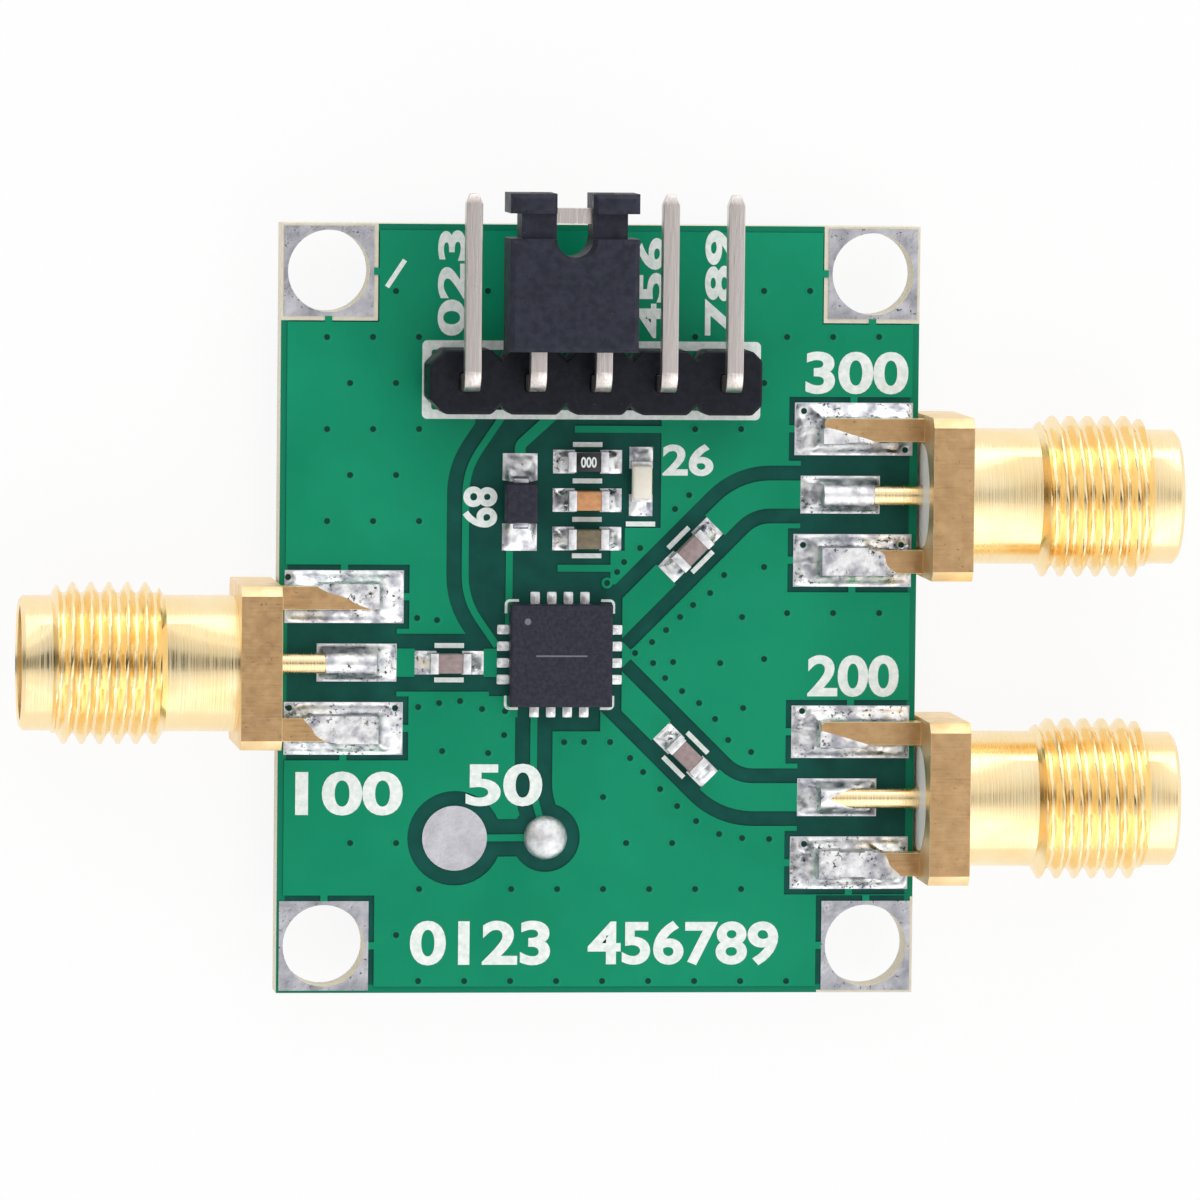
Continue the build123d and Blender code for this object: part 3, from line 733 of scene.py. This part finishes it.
def node_mesh(node):
    """A node's mesh in millimetres, welded, with its flat faces whole."""
    bm = bmesh.new()
    bm.from_mesh(frame["nodes"][node].data)
    bmesh.ops.scale(bm, vec=(1 / MM, 1 / MM, 1 / MM), verts=bm.verts)
    bmesh.ops.remove_doubles(bm, verts=bm.verts, dist=weld_distance)
    bmesh.ops.dissolve_limit(bm, angle_limit=flat_angle, verts=bm.verts, edges=bm.edges)
    return bm


def soften(bm, bevel):
    """Round every sharp edge of a mesh."""
    sharp = [e for e in bm.edges if e.is_manifold and e.calc_face_angle() > sharp_angle]
    bmesh.ops.bevel(
        bm, geom=sharp, offset=bevel, offset_type="OFFSET", segments=bevel_steps,
        profile=0.5, affect="EDGES", clamp_overlap=True,
    )


def keep_flat(piece):
    """Shade a piece's flat faces flat, so that only the rounded edges between them turn."""
    shading = piece.modifiers.new("flat_faces", "WEIGHTED_NORMAL")
    shading.keep_sharp = True


def softened_copy(node, bevel):
    """Piece with a node's shape and rounded edges, which stands for the node."""
    bm = node_mesh(node)
    soften(bm, bevel)
    materials = [end_metal] if node.endswith("_ends") else None
    body = frame["nodes"][node]["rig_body"]
    keep_flat(make_piece(node + "_skin", bm, slot_of[node], [node], materials, body))


def dress_nodes():
    """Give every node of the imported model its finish."""
    for node, slot in slot_of.items():
        mesh = frame["nodes"][node].data
        mesh.materials.clear()
        mesh.materials.append(plain_tin if node in plain_lands else finishes[slot])


def dress_rigid_parts():
    """Rounded copies of the small rigid pieces."""
    for node, bevel in softened_nodes.items():
        softened_copy(node, bevel)
    for stem in chip_stems:
        softened_copy(stem + "_body", chip_bevel)
        softened_copy(stem + "_ends", chip_bevel)
    for k in range(pin_count):
        softened_copy(f"header_pin_{k + 1}", pin_bevel)


def add_box(bm, low, high):
    """Box between two corners."""
    shape = Matrix.Translation((low + high) / 2) @ Matrix.Diagonal((*(high - low), 1))
    bmesh.ops.create_cube(bm, size=1, matrix=shape)


def add_rings(bm, rings, loop=False):
    """Skin over rings of points, closed from last to first where it loops, and by two caps otherwise."""
    rows = [[bm.verts.new(point) for point in ring] for ring in rings]
    pairs = list(zip(rows, rows[1:]))
    if loop:
        pairs.append((rows[-1], rows[0]))
    for first, second in pairs:
        for k in range(len(first)):
            bm.faces.new((first[k - 1], first[k], second[k], second[k - 1]))
    if not loop:
        bm.faces.new(rows[0][::-1])
        bm.faces.new(rows[-1])


def circle(centre, radius, level, sides):
    """Ring of points level with the board."""
    turns = [math.tau * k / sides for k in range(sides)]
    return [Vector((centre.x + radius * math.cos(a), centre.y + radius * math.sin(a), level)) for a in turns]


def add_turned(bm, centre, profile, sides, loop=False):
    """Skin turned about an upright line through a centre, from rows of radius and level."""
    add_rings(bm, [circle(centre, radius, level, sides) for radius, level in profile], loop)


# Jacks

def thread_radius(along, turn):
    """Radius of the screw thread at a distance along it and a share of a turn."""
    phase = (along / thread_pitch - turn) % 1
    from_crest = min(phase, 1 - phase)
    flank = 0.5 - crest_share / 2 - root_share / 2
    fall = min(max((from_crest - crest_share / 2) / flank, 0), 1)
    return crest_radius - thread_depth * fall


def barrel_profile(length, mouth_depth, bore_radius):
    """Rows of distance from the flange and radius, once round the barrel's section."""
    count = round(thread_length / thread_pitch * thread_steps)
    return [
        (0, bore_radius),
        (0, neck_radius),
        (neck_length, neck_radius),
        *[(neck_length + thread_length * k / count, crest_radius) for k in range(count + 1)],
        (neck_length + thread_length, pilot_radius),
        (length - pilot_bevel, pilot_radius),
        (length, pilot_radius - pilot_bevel),
        (length, mouth_radius + pilot_bevel / 2),
        (length - pilot_bevel / 2, mouth_radius),
        (length - mouth_depth, mouth_radius),
        (length - mouth_depth, bore_radius),
    ]


def barrel_rings(profile, axis, side):
    """Rings of points of a barrel from the flange's outer face on, with the thread cut into its crest."""
    rings = []
    for along, radius in profile:
        into = along - neck_length
        rise = neck_radius + max(into, 0) * (crest_radius - neck_radius) / thread_bevel
        drop = pilot_radius + max(thread_length - into, 0) * (crest_radius - pilot_radius) / thread_bevel
        ring = []
        for k in range(barrel_sides):
            turn = k / barrel_sides
            reach = min(thread_radius(into, turn), rise, drop) if radius == crest_radius else radius
            angle = math.tau * turn
            ring.append(axis + Vector((side * along, reach * math.cos(angle), reach * math.sin(angle))))
        rings.append(ring)
    return rings


def port_axis(port):
    """A point on a jack's axis at the flange's outer face, and which way it points along X."""
    low, high = box_of(port + "_port_shell")
    side = 1 if high.x > board_high.x else -1
    face = end_x(port + "_port_insulator", -side) + side * flange_thickness
    return Vector((face, (low.y + high.y) / 2, (low.z + high.z) / 2)), side


def make_shell(port):
    """Jack shell: the threaded barrel, and the milled flange with its legs."""
    node = port + "_port_shell"
    core = port + "_port_insulator"
    axis, side = port_axis(port)
    tip = end_x(node, side)
    core_low, core_high = box_of(core)
    flange = node_mesh(node)
    everything = flange.verts[:] + flange.edges[:] + flange.faces[:]
    bmesh.ops.bisect_plane(
        flange, geom=everything, plane_co=axis, plane_no=(side, 0, 0), clear_outer=True, dist=weld_distance,
    )
    rim = [e for e in flange.edges if e.is_boundary]
    bmesh.ops.bridge_loops(flange, edges=rim)
    soften(flange, flange_bevel)
    for face in flange.faces:
        face.normal_update()
        face.material_index = 0 if abs(face.normal.z) > brushed_tilt else 1
    keep_flat(make_piece(port + "_port_flange", flange, "gold_plate", [node], [brushed_gold, satin_gold]))
    barrel = bmesh.new()
    mouth_depth = abs(tip - end_x(core, side))
    profile = barrel_profile(abs(tip - axis.x), mouth_depth, (core_high.y - core_low.y) / 2)
    add_rings(barrel, barrel_rings(profile, axis, side), loop=True)
    make_piece(port + "_port_barrel", barrel, "gold_plate", [node])


# Solder

def ragged(x, y, size):
    """Smooth uneven value from about -1 to 1, the same on each run."""
    return noise.noise(Vector((x, y, 0)) / size)


def uneven(x, y, seed):
    """Uneven height of a solder surface: broad lumps and finer ripples."""
    lump = lump_height * ragged(x + seed, y, lump_size)
    return lump + ripple_height * ragged(x, y + seed, ripple_size)


def islands(node):
    """Middle and size of each separate solid of a node."""
    bm = node_mesh(node)
    left = set(bm.verts)
    solids = []
    while left:
        front = [left.pop()]
        solid = list(front)
        while front:
            near = [e.other_vert(v) for v in front for e in v.link_edges]
            front = [v for v in set(near) if v in left]
            left.difference_update(front)
            solid += front
        low, high = box_round([v.co for v in solid])
        solids.append(((low + high) / 2, high - low))
    bm.free()
    return solids


def eased(share):
    """Share from 0 to 1 that starts and ends gently."""
    return share * share * (3 - 2 * share)


def hole_share(point):
    """How much solder stays at a point: none over a land's plated hole, all of it past the hole's rim."""
    nearest = min(math.hypot(point.x - hole.x, point.y - hole.y) for hole in land_holes)
    return eased(min(max((nearest - via_hole_radius) / via_rim_radius, 0), 1))


def add_lump(bm, place, length, width, height_at, butt=False):
    """Closed lump on a face: a rectangle about the place's origin, raised by height_at(x, y).

    It thins out to its rim, except along its -X side where it butts against a part.
    """
    columns = max(solder_least_steps, round(length / solder_step))
    rows = max(solder_least_steps, round(width / solder_step))
    grid = []
    base = []
    for i in range(columns + 1):
        u = 2 * i / columns - 1
        line = []
        for j in range(rows + 1):
            v = 2 * j / rows - 1
            x = length / 2 * u * (1 - solder_end_draw * v ** solder_end_curve)
            y = width / 2 * v * (1 - solder_side_draw * u ** solder_side_curve)
            inward = min(length / 2 * (1 - (u if butt else abs(u))), width / 2 * (1 - abs(v)))
            share = eased(min(inward / solder_shoulder, 1)) * hole_share(place @ Vector((x, y, 0)))
            line.append(bm.verts.new(place @ Vector((x, y, height_at(x, y) * share))))
        grid.append(line)
    for i in range(columns):
        for j in range(rows):
            bm.faces.new((grid[i][j], grid[i + 1][j], grid[i + 1][j + 1], grid[i][j + 1]))
    rim = [line[0] for line in grid] + grid[-1][1:] + [line[-1] for line in grid[-2::-1]] + grid[0][-2:0:-1]
    back = place.inverted()
    for vertex in rim:
        spot = back @ vertex.co
        base.append(bm.verts.new(place @ Vector((spot.x, spot.y, -solder_root))))
    for k in range(len(rim)):
        bm.faces.new((rim[k - 1], rim[k], base[k], base[k - 1]))
    bm.faces.new(base)


def wet_solder(end, half, climbs, seed, stretch, edge_at, skin_at):
    """Height of the solder round a leg or tail along +X, in its land's frame.

    edge_at(y) says how far from its end it is wet, and skin_at(y, film) how high a film on it lies.
    """
    dry_climb, wet_climb = climbs

    def height_at(x, y):
        past = end - x
        apart = max(past, abs(y) - half)
        edge = edge_at(y) + wet_edge_depth * ragged(x / stretch + seed, y, wet_edge_size)
        cover = min(max((edge + past) / solder_fade, -1), 1)
        if apart <= solder_wrap * max(cover, 0):
            return skin_at(y, solder_film * cover)
        climb = dry_climb + wet_climb * max(cover, 0)
        return solder_depth + uneven(x, y, seed) + climb * math.exp(-apart / solder_spread)
    return height_at


def leg_solder(leg_end, wet, slant, seed):
    """Height of the solder round one flat leg."""
    half = leg_side / 2
    return wet_solder(
        leg_end, half, (solder_climb, solder_wet_climb), seed, leg_edge_stretch,
        edge_at=lambda y: wet + slant * y / half,
        skin_at=lambda y, film: leg_side + film,
    )


def tail_solder(tail_end, wet, seed):
    """Height of the solder round a jack's round tail."""
    radius = tail_diameter / 2
    return wet_solder(
        tail_end, radius, (radius - solder_depth, radius / 2), seed, 1,
        edge_at=lambda y: wet + wet_flank * (y / radius) ** 2,
        skin_at=lambda y, film: radius + math.sqrt(max((radius + film) ** 2 - y ** 2, 0)),
    )


def make_port_solder(port):
    """Solder of one jack: its legs on both sides of the board, and its signal tail."""
    node = port + "_port_solder"
    axis, side = port_axis(port)
    leg_end = end_x(port + "_port_shell", -side)
    tail_end = end_x(port + "_port_contact", -side)
    bm = bmesh.new()
    for centre, size in islands(node):
        top = centre.z > board_high.z
        level = land_level if top else under_level
        flip = Matrix.Diagonal((side, 1, 1 if top else -1, 1))
        place = Matrix.Translation((centre.x, centre.y, level)) @ flip
        length = size.x + 2 * solder_reach
        width = size.y + 2 * solder_reach
        across = centre.y - axis.y
        seed = port_seed * centre.y + level
        if abs(across) < leg_side:
            shape = tail_solder((tail_end - centre.x) * side, wetting[port]["tail"], seed)
        else:
            wet, slant = wetting[port]["upper" if across > 0 else "lower"]
            shape = leg_solder((leg_end - centre.x) * side, wet, slant, seed)
        add_lump(bm, place, length, width, shape)
    make_piece(port + "_port_solder_lumps", bm, "solder", [node])


def part_frame(stem):
    """Centre of a two-ended chip part and the direction from one end to the other."""
    body = node_mesh(stem + "_body")
    longest = max(body.edges, key=lambda e: e.calc_length())
    along = (longest.verts[1].co - longest.verts[0].co).normalized()
    body.free()
    return middle_of(stem + "_body"), along


def land_place(point, out):
    """Frame on the lands at a point, with its X along a direction out."""
    turn = Matrix((out, UP.cross(out), UP)).transposed().to_4x4()
    return Matrix.Translation((point.x, point.y, land_level)) @ turn


def meniscus(reach, width, climb, seed):
    """Height of a hollow fillet that runs up to a part's end at -X and is drawn in at its waist."""
    def height_at(x, y):
        out = x / reach + 0.5
        waist = 1 - fillet_waist * (2 * y / width) ** 2 * math.sin(math.pi * min(max(out, 0), 1))
        ripple = ripple_height * ragged(x + seed, y, ripple_size)
        return climb * (1 - out) ** fillet_curve * waist + solder_depth * fillet_foot + ripple
    return height_at


def add_end_solder(bm, centre, along, inner, outer, width, climb):
    """Two fillets at the ends of a part, each as long as its land shows past the part."""
    reach = outer - inner
    for out in (along, -along):
        middle = centre + out * (inner + outer) / 2
        seed = middle.x * fillet_seeds[0] + middle.y * fillet_seeds[1]
        add_lump(bm, land_place(middle, out), reach, width, meniscus(reach, width, climb, seed), butt=True)


def make_part_solder():
    """Solder of the chip parts and the diode."""
    bm = bmesh.new()
    for stem in chip_stems:
        climb = other_climbs.get(stem, part_climb)
        add_end_solder(bm, *part_frame(stem), part_half_length, part_land_half_span, part_land_width, climb)
    centre = middle_of("diode_body")
    along = Vector((0, 1, 0))
    add_end_solder(bm, centre, along, diode_half_length, diode_land_half_span, diode_land_width, diode_climb)
    make_piece("part_solder_fillets", bm, "solder", ["part_solder"])


def toe_height(length):
    """Height of a toe that rounds down from the lead at -X to its outer end."""
    def height_at(x, y):
        return toe_climb - toe_fall * (x / length + 0.5)
    return height_at


def make_toes():
    """Rounded solder toes in front of the switch chip's leads."""
    middle = middle_of("switch_chip_body")
    bm = bmesh.new()
    for centre, size in islands("switch_chip_solder"):
        away = centre - middle
        axis = 0 if abs(away.x) > abs(away.y) else 1
        out = Vector((0, 0, 0))
        out[axis] = math.copysign(1, away[axis])
        length = size[axis]
        width = size[1 - axis] + 2 * solder_film
        add_lump(bm, land_place(centre, out), length, width, toe_height(length), butt=True)
    make_piece("switch_chip_toes", bm, "solder", ["switch_chip_solder"], [end_metal])


def make_dome():
    """Solder dome of the enable trace, slightly uneven."""
    low, high = box_of("enable_solder")
    centre = (low + high) / 2
    radius = (high.x - low.x) / 2
    height = high.z - low.z
    rings = []
    for k in range(dome_rings):
        tilt = math.pi / 2 * k / dome_rings
        ring = circle(centre, radius * math.cos(tilt), land_level + height * math.sin(tilt), 4 * dome_rings)
        for point in ring:
            point.z += ripple_height * math.sin(tilt) * (ragged(point.x, point.y, lump_size) - 1)
        rings.append(ring)
    bm = bmesh.new()
    add_rings(bm, rings)
    make_piece("enable_dome", bm, "solder", ["enable_solder"], [end_metal])


def make_header_cones():
    """Hollow-sided solder cones round the header's tails, under the board."""
    bm = bmesh.new()
    for centre, size in islands("header_solder"):
        flare = size.x / 2 - cone_tip_radius
        shares = [k / cone_rings for k in range(cone_rings + 1)]
        profile = [(cone_tip_radius + flare * (1 - s) ** 2, centre.z + size.z * (0.5 - s)) for s in shares]
        add_turned(bm, centre, profile, 4 * cone_rings)
    make_piece("header_solder_cones", bm, "solder", ["header_solder"])


# White print

def add_print(bm, outline):
    """Printed area with a closed outline, as thick as print on the coated side."""
    add_rings(bm, [[(p.x, p.y, level) for p in outline] for level in (board_high.z, print_level)])


def add_bar(bm, middle, half):
    """Printed bar about a middle, as far each way as half reaches."""
    across = Vector((-half.y, half.x, 0)).normalized() * print_width / 2
    ends = (middle - half, middle + half)
    add_print(bm, [end - across for end in ends] + [end + across for end in ends[::-1]])


def add_numerals(bm, text, centre, length, height, turn=0.0, base=board_high.z, top=print_level):
    """Plain printed numerals of a length and height about a centre, turned about Z."""
    curve = bpy.data.curves.new("numerals", "FONT")
    curve.body = text
    curve.offset = numeral_weight
    curve.resolution_u = numeral_steps
    curve.extrude = numeral_depth
    holder = bpy.data.objects.new("numerals", curve)
    mesh = bpy.data.meshes.new_from_object(holder)
    low, high = box_round([v.co for v in mesh.vertices])
    size = high - low
    fit = Matrix.Diagonal((length / size.x, height / size.y, (top - base) / size.z, 1))
    middle = Matrix.Translation(-(low + high) / 2)
    seat = Matrix.Translation((centre.x, centre.y, (top + base) / 2))
    mesh.transform(seat @ Matrix.Rotation(turn, 4, "Z") @ fit @ middle)
    bm.from_mesh(mesh)
    bpy.data.objects.remove(holder)
    bpy.data.curves.remove(curve)
    bpy.data.meshes.remove(mesh)


def corner_arc(x, y, radius, quarter):
    """Points of a quarter circle about a centre, which starts a number of quarter turns from +X."""
    angles = [math.pi / 2 * (quarter + k / print_corner_steps) for k in range(print_corner_steps + 1)]
    return [(x + radius * math.cos(a), y + radius * math.sin(a)) for a in angles]


def rounded_loop(low, high, corner, level):
    """Loop of points round a rectangle with rounded corners."""
    loop = []
    for k in range(4):
        x = low.x + corner if k in (1, 2) else high.x - corner
        y = low.y + corner if k in (2, 3) else high.y - corner
        loop += [(*spot, level) for spot in corner_arc(x, y, corner, k)]
    return loop


def print_header_outline(bm):
    """Frame printed round the header, with rounded corners."""
    low, high = [on_board(*pixel) for pixel in header_print_pixels]
    into = Vector((header_print_width, header_print_width, 0))
    levels = (board_high.z, print_level)
    loops = [rounded_loop(low, high, header_print_corner, level) for level in levels]
    for level in levels[::-1]:
        loops.append(rounded_loop(low + into, high - into, header_print_corner / 2, level))
    add_rings(bm, loops, loop=True)


def print_part_bars(bm):
    """Bars printed beside the chip parts."""
    for stem in line_stems:
        centre, along = part_frame(stem)
        across = Vector((-along.y, along.x, 0))
        for offset in (-bar_offset, bar_offset):
            add_bar(bm, centre + across * offset, along * bar_length / 2)
    column = [part_frame(stem)[0] for stem in column_stems]
    half = Vector((bar_length / 2, 0, 0))
    lines = [column[0].y + bar_offset]
    lines += [(first.y + second.y) / 2 for first, second in zip(column, column[1:])]
    lines.append(column[-1].y - bar_offset)
    for y in lines:
        add_bar(bm, Vector((column[0].x, y, 0)), half)
    add_bar(bm, part_frame("indicator_lamp")[0] - Vector((0, lamp_bar_offset, 0)), half)


def print_chip_corners(bm):
    """Rounded corner marks round the switch chip."""
    low, high = box_of("switch_chip_body")
    reach = (high.x - low.x) / 2 + corner_print_margin
    arm = corner_print_arm
    width = corner_print_width
    bend = corner_print_bend
    outer = corner_arc(bend, bend, bend, 2)
    inner = corner_arc(bend, bend, bend - width, 2)
    spots = outer + [(arm, 0), (arm, width)] + inner[::-1] + [(width, arm), (0, arm)]
    for x, y in ((1, 1), (1, -1), (-1, -1), (-1, 1)):
        corner = (low + high) / 2 + Vector((x, y, 0)) * reach
        add_print(bm, [corner - Vector((x * a, y * b, 0)) for a, b in spots])


def make_print():
    """All white print on the component side."""
    bm = bmesh.new()
    print_header_outline(bm)
    print_part_bars(bm)
    print_chip_corners(bm)
    start, end = [on_board(*pixel) for pixel in slash_pixels]
    add_bar(bm, (start + end) / 2, (end - start) / 2)
    for text, column, row, length, height, quarters in numeral_places:
        add_numerals(bm, text, on_board(column, row), length, height, quarters * math.pi / 2)
    make_piece("white_print", bm, "alumina", materials=[print_white])


def make_chip_marks():
    """First-lead dot and rule on the switch chip, and a plain number on the resistor."""
    low, high = box_of("switch_chip_body")
    base = high.z - print_height / 2
    dot = Vector((low.x + chip_dot_inset, high.y - chip_dot_inset, 0))
    bm = bmesh.new()
    add_turned(bm, dot, [(chip_dot_radius, base), (chip_dot_radius, base + print_height)], via_sides)
    half = Vector((chip_rule_length, chip_rule_width, 0)) / 2
    middle = Vector(((low.x + high.x) / 2, (low.y + high.y) / 2, base))
    add_box(bm, middle - half, middle + half + UP * print_height)
    make_piece("chip_marks", bm, "alumina", materials=[print_grey])
    coat = "bias_resistor_coat"
    base = box_of(coat)[1].z - print_height / 2
    number = bmesh.new()
    add_numerals(number, "000", middle_of(coat), number_length, number_height, 0.0, base, base + print_height)
    make_piece("resistor_number", number, "alumina", materials=[print_white])


# Plated holes

def copper_finder(node, way):
    """Test that says whether a disc of one side, up or down, is all on a ground copper."""
    copper = node_mesh(node)
    tree = BVHTree.FromBMesh(copper)
    copper.free()
    face = (board_high.z if way > 0 else board_low.z) + way * weld_distance
    start = 2 * (board_high.z - board_low.z) * way

    def on_copper(point, reach):
        spots = [point] + circle(point, reach, 0, via_sides)
        hits = [tree.ray_cast(Vector((p.x, p.y, face + start)), -UP * way)[0] for p in spots]
        return all(hit and (hit.z - face) * way > 0 for hit in hits)
    return on_copper


def on_numerals(point):
    """Whether a point is on printed numerals or close to them."""
    for text, column, row, length, height, quarters in numeral_places:
        away = point - on_board(column, row)
        across, along = (height, length) if quarters % 2 else (length, height)
        if abs(away.x) < across / 2 + numeral_margin and abs(away.y) < along / 2 + numeral_margin:
            return True
    return False


def off_edges(point):
    """Whether a point is clear of the board's left, right and upper edges."""
    return abs(point.x) < board_high.x - via_edge and point.y < board_high.y - via_edge


def via_places():
    """Plated holes: fences beside the lines and a row at the edge, then a staggered grid on free copper."""
    on_copper = copper_finder("top_ground_copper", 1)
    places = [on_board(*pixel) for pixel in fence_pixels]
    column, row = edge_row_pixel
    places += [on_board(column + grid_pitch * k, row) for k in range(edge_row_count)]
    steps = range(-grid_reach, grid_reach + 1)
    for row in steps:
        for column in steps:
            x = grid_pixel[0] + grid_pitch * (column + (row % 2) / 2)
            y = grid_pixel[1] + grid_pitch * row
            point = on_board(x, y)
            clear = off_edges(point) and all((point - other).length > via_spacing for other in places)
            if clear and on_copper(point, via_clearance) and not on_numerals(point):
                places.append(point)
    return places


def add_via(hollows, lips, place, way):
    """Plated hole on one side, up or down: a dip in it that shows the hole's painted shade, and a low coated
    lip round it if asked for.
    """
    level = land_level if way > 0 else under_level
    lip = way * via_lip_height
    wall = [(via_hole_radius, level - lip), (via_hole_radius, level + lip / 2)]
    rim = [(via_rim_radius, level - lip), (via_rim_radius, level), (via_lip_radius, level + lip)]
    add_turned(hollows, place, wall + [(via_hole_radius / 2, level + lip / 4)], via_sides)
    if lips is not None:
        add_turned(lips, place, rim + wall[::-1], via_sides, loop=True)


def make_vias():
    """Plated holes as they show on both sides of the board."""
    lips = bmesh.new()
    hollows = bmesh.new()
    under_copper = copper_finder("bottom_ground_copper", -1)
    for place in via_places():
        add_via(hollows, lips, place, 1)
        if under_copper(place, via_clearance):
            add_via(hollows, lips, place, -1)
    for place in land_holes:
        add_via(hollows, None, place, 1)
        add_via(hollows, None, place, -1)
    make_piece("via_lips", lips, "coated_copper")
    # The hollows carry the painted shade of the holes
    make_piece("via_hollows", hollows, "coated_board", materials=[painted_via_shade])


# Board corners

def make_laminate_margins():
    """Bare laminate between a mounting land and the coating round it."""
    land = Vector((mounting_land_side, mounting_land_side, 0))
    margin = Vector((laminate_margin, laminate_margin, 0))
    high = box_of("mounting_lands")[1]
    floor = board_high.z
    bm = bmesh.new()
    for (x, y), sides in bare_sides.items():
        way = Vector((x, y, 0))
        outer = way * board_high
        land_out = way * high
        land_in = land_out - way * land
        inner = land_in - way * margin
        strips = {
            "outer_x": (outer.x, outer.y, land_out.x, inner.y),
            "outer_y": (land_out.x, outer.y, inner.x, land_out.y),
            "inner_x": (land_in.x, land_out.y, inner.x, inner.y),
            "inner_y": (land_out.x, land_in.y, land_in.x, inner.y),
        }
        for name in sides:
            x1, y1, x2, y2 = strips[name]
            add_box(bm, *box_round([(x1, y1, floor), (x2, y2, floor + print_height)]))
    make_piece("laminate_margins", bm, "coated_board", materials=[laminate])


# Studio

def make_floor():
    """Pale floor that keeps a soft shadow and shows white to the camera and in reflections."""
    material = bpy.data.materials.new("floor")
    material.use_nodes = True
    tree = material.node_tree
    tree.nodes.clear()
    path = add_node(tree, "LightPath", {}).outputs
    mirrored = add_math(tree, "MAXIMUM", path["Is Glossy Ray"], path["Is Transmission Ray"])
    seen = add_math(tree, "MAXIMUM", path["Is Camera Ray"], mirrored)
    share = add_math(tree, "MULTIPLY", seen, floor_glow)
    matt = add_node(tree, "BsdfDiffuse", {"Color": (floor_paint, floor_paint, floor_paint, 1)}).outputs[0]
    glow = add_node(tree, "Emission", {}).outputs[0]
    mix = add_node(tree, "MixShader", {0: share, 1: matt, 2: glow}).outputs[0]
    add_node(tree, "OutputMaterial", {"Surface": mix})
    bm = bmesh.new()
    level = Matrix.Translation((0, 0, cad_box[0].z - floor_drop * MM))
    half = floor_side * MM / 2
    bmesh.ops.create_grid(bm, x_segments=floor_cells, y_segments=floor_cells, size=half, matrix=level)
    floor = add_object("floor", make_mesh("floor", bm, [material]))


def make_world():
    """Soft studio: bright to both sides, dimmer overhead, with a dark card over the left jack."""
    world = bpy.data.worlds.new("studio")
    bpy.context.scene.world = world
    world.use_nodes = True
    tree = world.node_tree
    place = add_node(tree, "TexCoord", {}).outputs["Generated"]
    split = add_node(tree, "SeparateXYZ", {0: place}).outputs
    ramp = add_node(tree, "ValToRGB", {"Fac": add_span(tree, split["Y"], -1, 1)})
    steps = ramp.color_ramp.elements
    while len(steps) < len(studio_bands):
        steps.new(1)
    for step, (share, level) in zip(steps, studio_bands):
        step.position = share
        step.color = (level, level, level, 1)
    apart = add_math(tree, "ABSOLUTE", add_math(tree, "SUBTRACT", split["Y"], card_middle))
    across = add_span(tree, apart, card_half_width, card_half_width + card_fade)
    along = add_span(tree, split["X"], card_start, card_end)
    shade = add_span(tree, add_math(tree, "MAXIMUM", across, along), 0, 1, card_level, 1)
    side = add_span(tree, split["X"], side_start, side_end, left_level, right_level)
    strength = add_math(tree, "MULTIPLY", shade, side)
    put(tree, tree.nodes["Background"], {"Color": ramp.outputs["Color"], "Strength": strength})


def make_lamp(name, place, side, power):
    """Square soft lamp aimed at the board."""
    light = bpy.data.lights.new(name, "AREA")
    light.size = side * MM
    light.energy = power
    turn = (-place).to_track_quat("-Z", "Y").to_matrix().to_4x4()
    add_object(name, light).matrix_world = Matrix.Translation(place * MM) @ turn


def make_camera():
    """Camera of the photograph."""
    data = bpy.data.cameras.new("camera")
    data.sensor_width = sensor_width
    data.lens = photo_focal * sensor_width / photo_size
    data.clip_start = MM
    camera = add_object("camera", data)
    camera.matrix_world = Matrix.Translation(camera_place * MM) @ camera_turn.to_4x4()
    bpy.context.scene.camera = camera


# Assembly

dress_nodes()
dress_rigid_parts()
for port in ("common", "upper", "lower"):
    make_shell(port)
    make_port_solder(port)
make_part_solder()
make_toes()
make_dome()
make_header_cones()
make_print()
make_chip_marks()
make_vias()
make_laminate_margins()
make_floor()
make_world()
make_lamp("key", key_place, key_side, key_power)
make_lamp("fill", fill_place, fill_side, fill_power)
make_camera()
bpy.context.scene.view_settings.view_transform = "Standard"
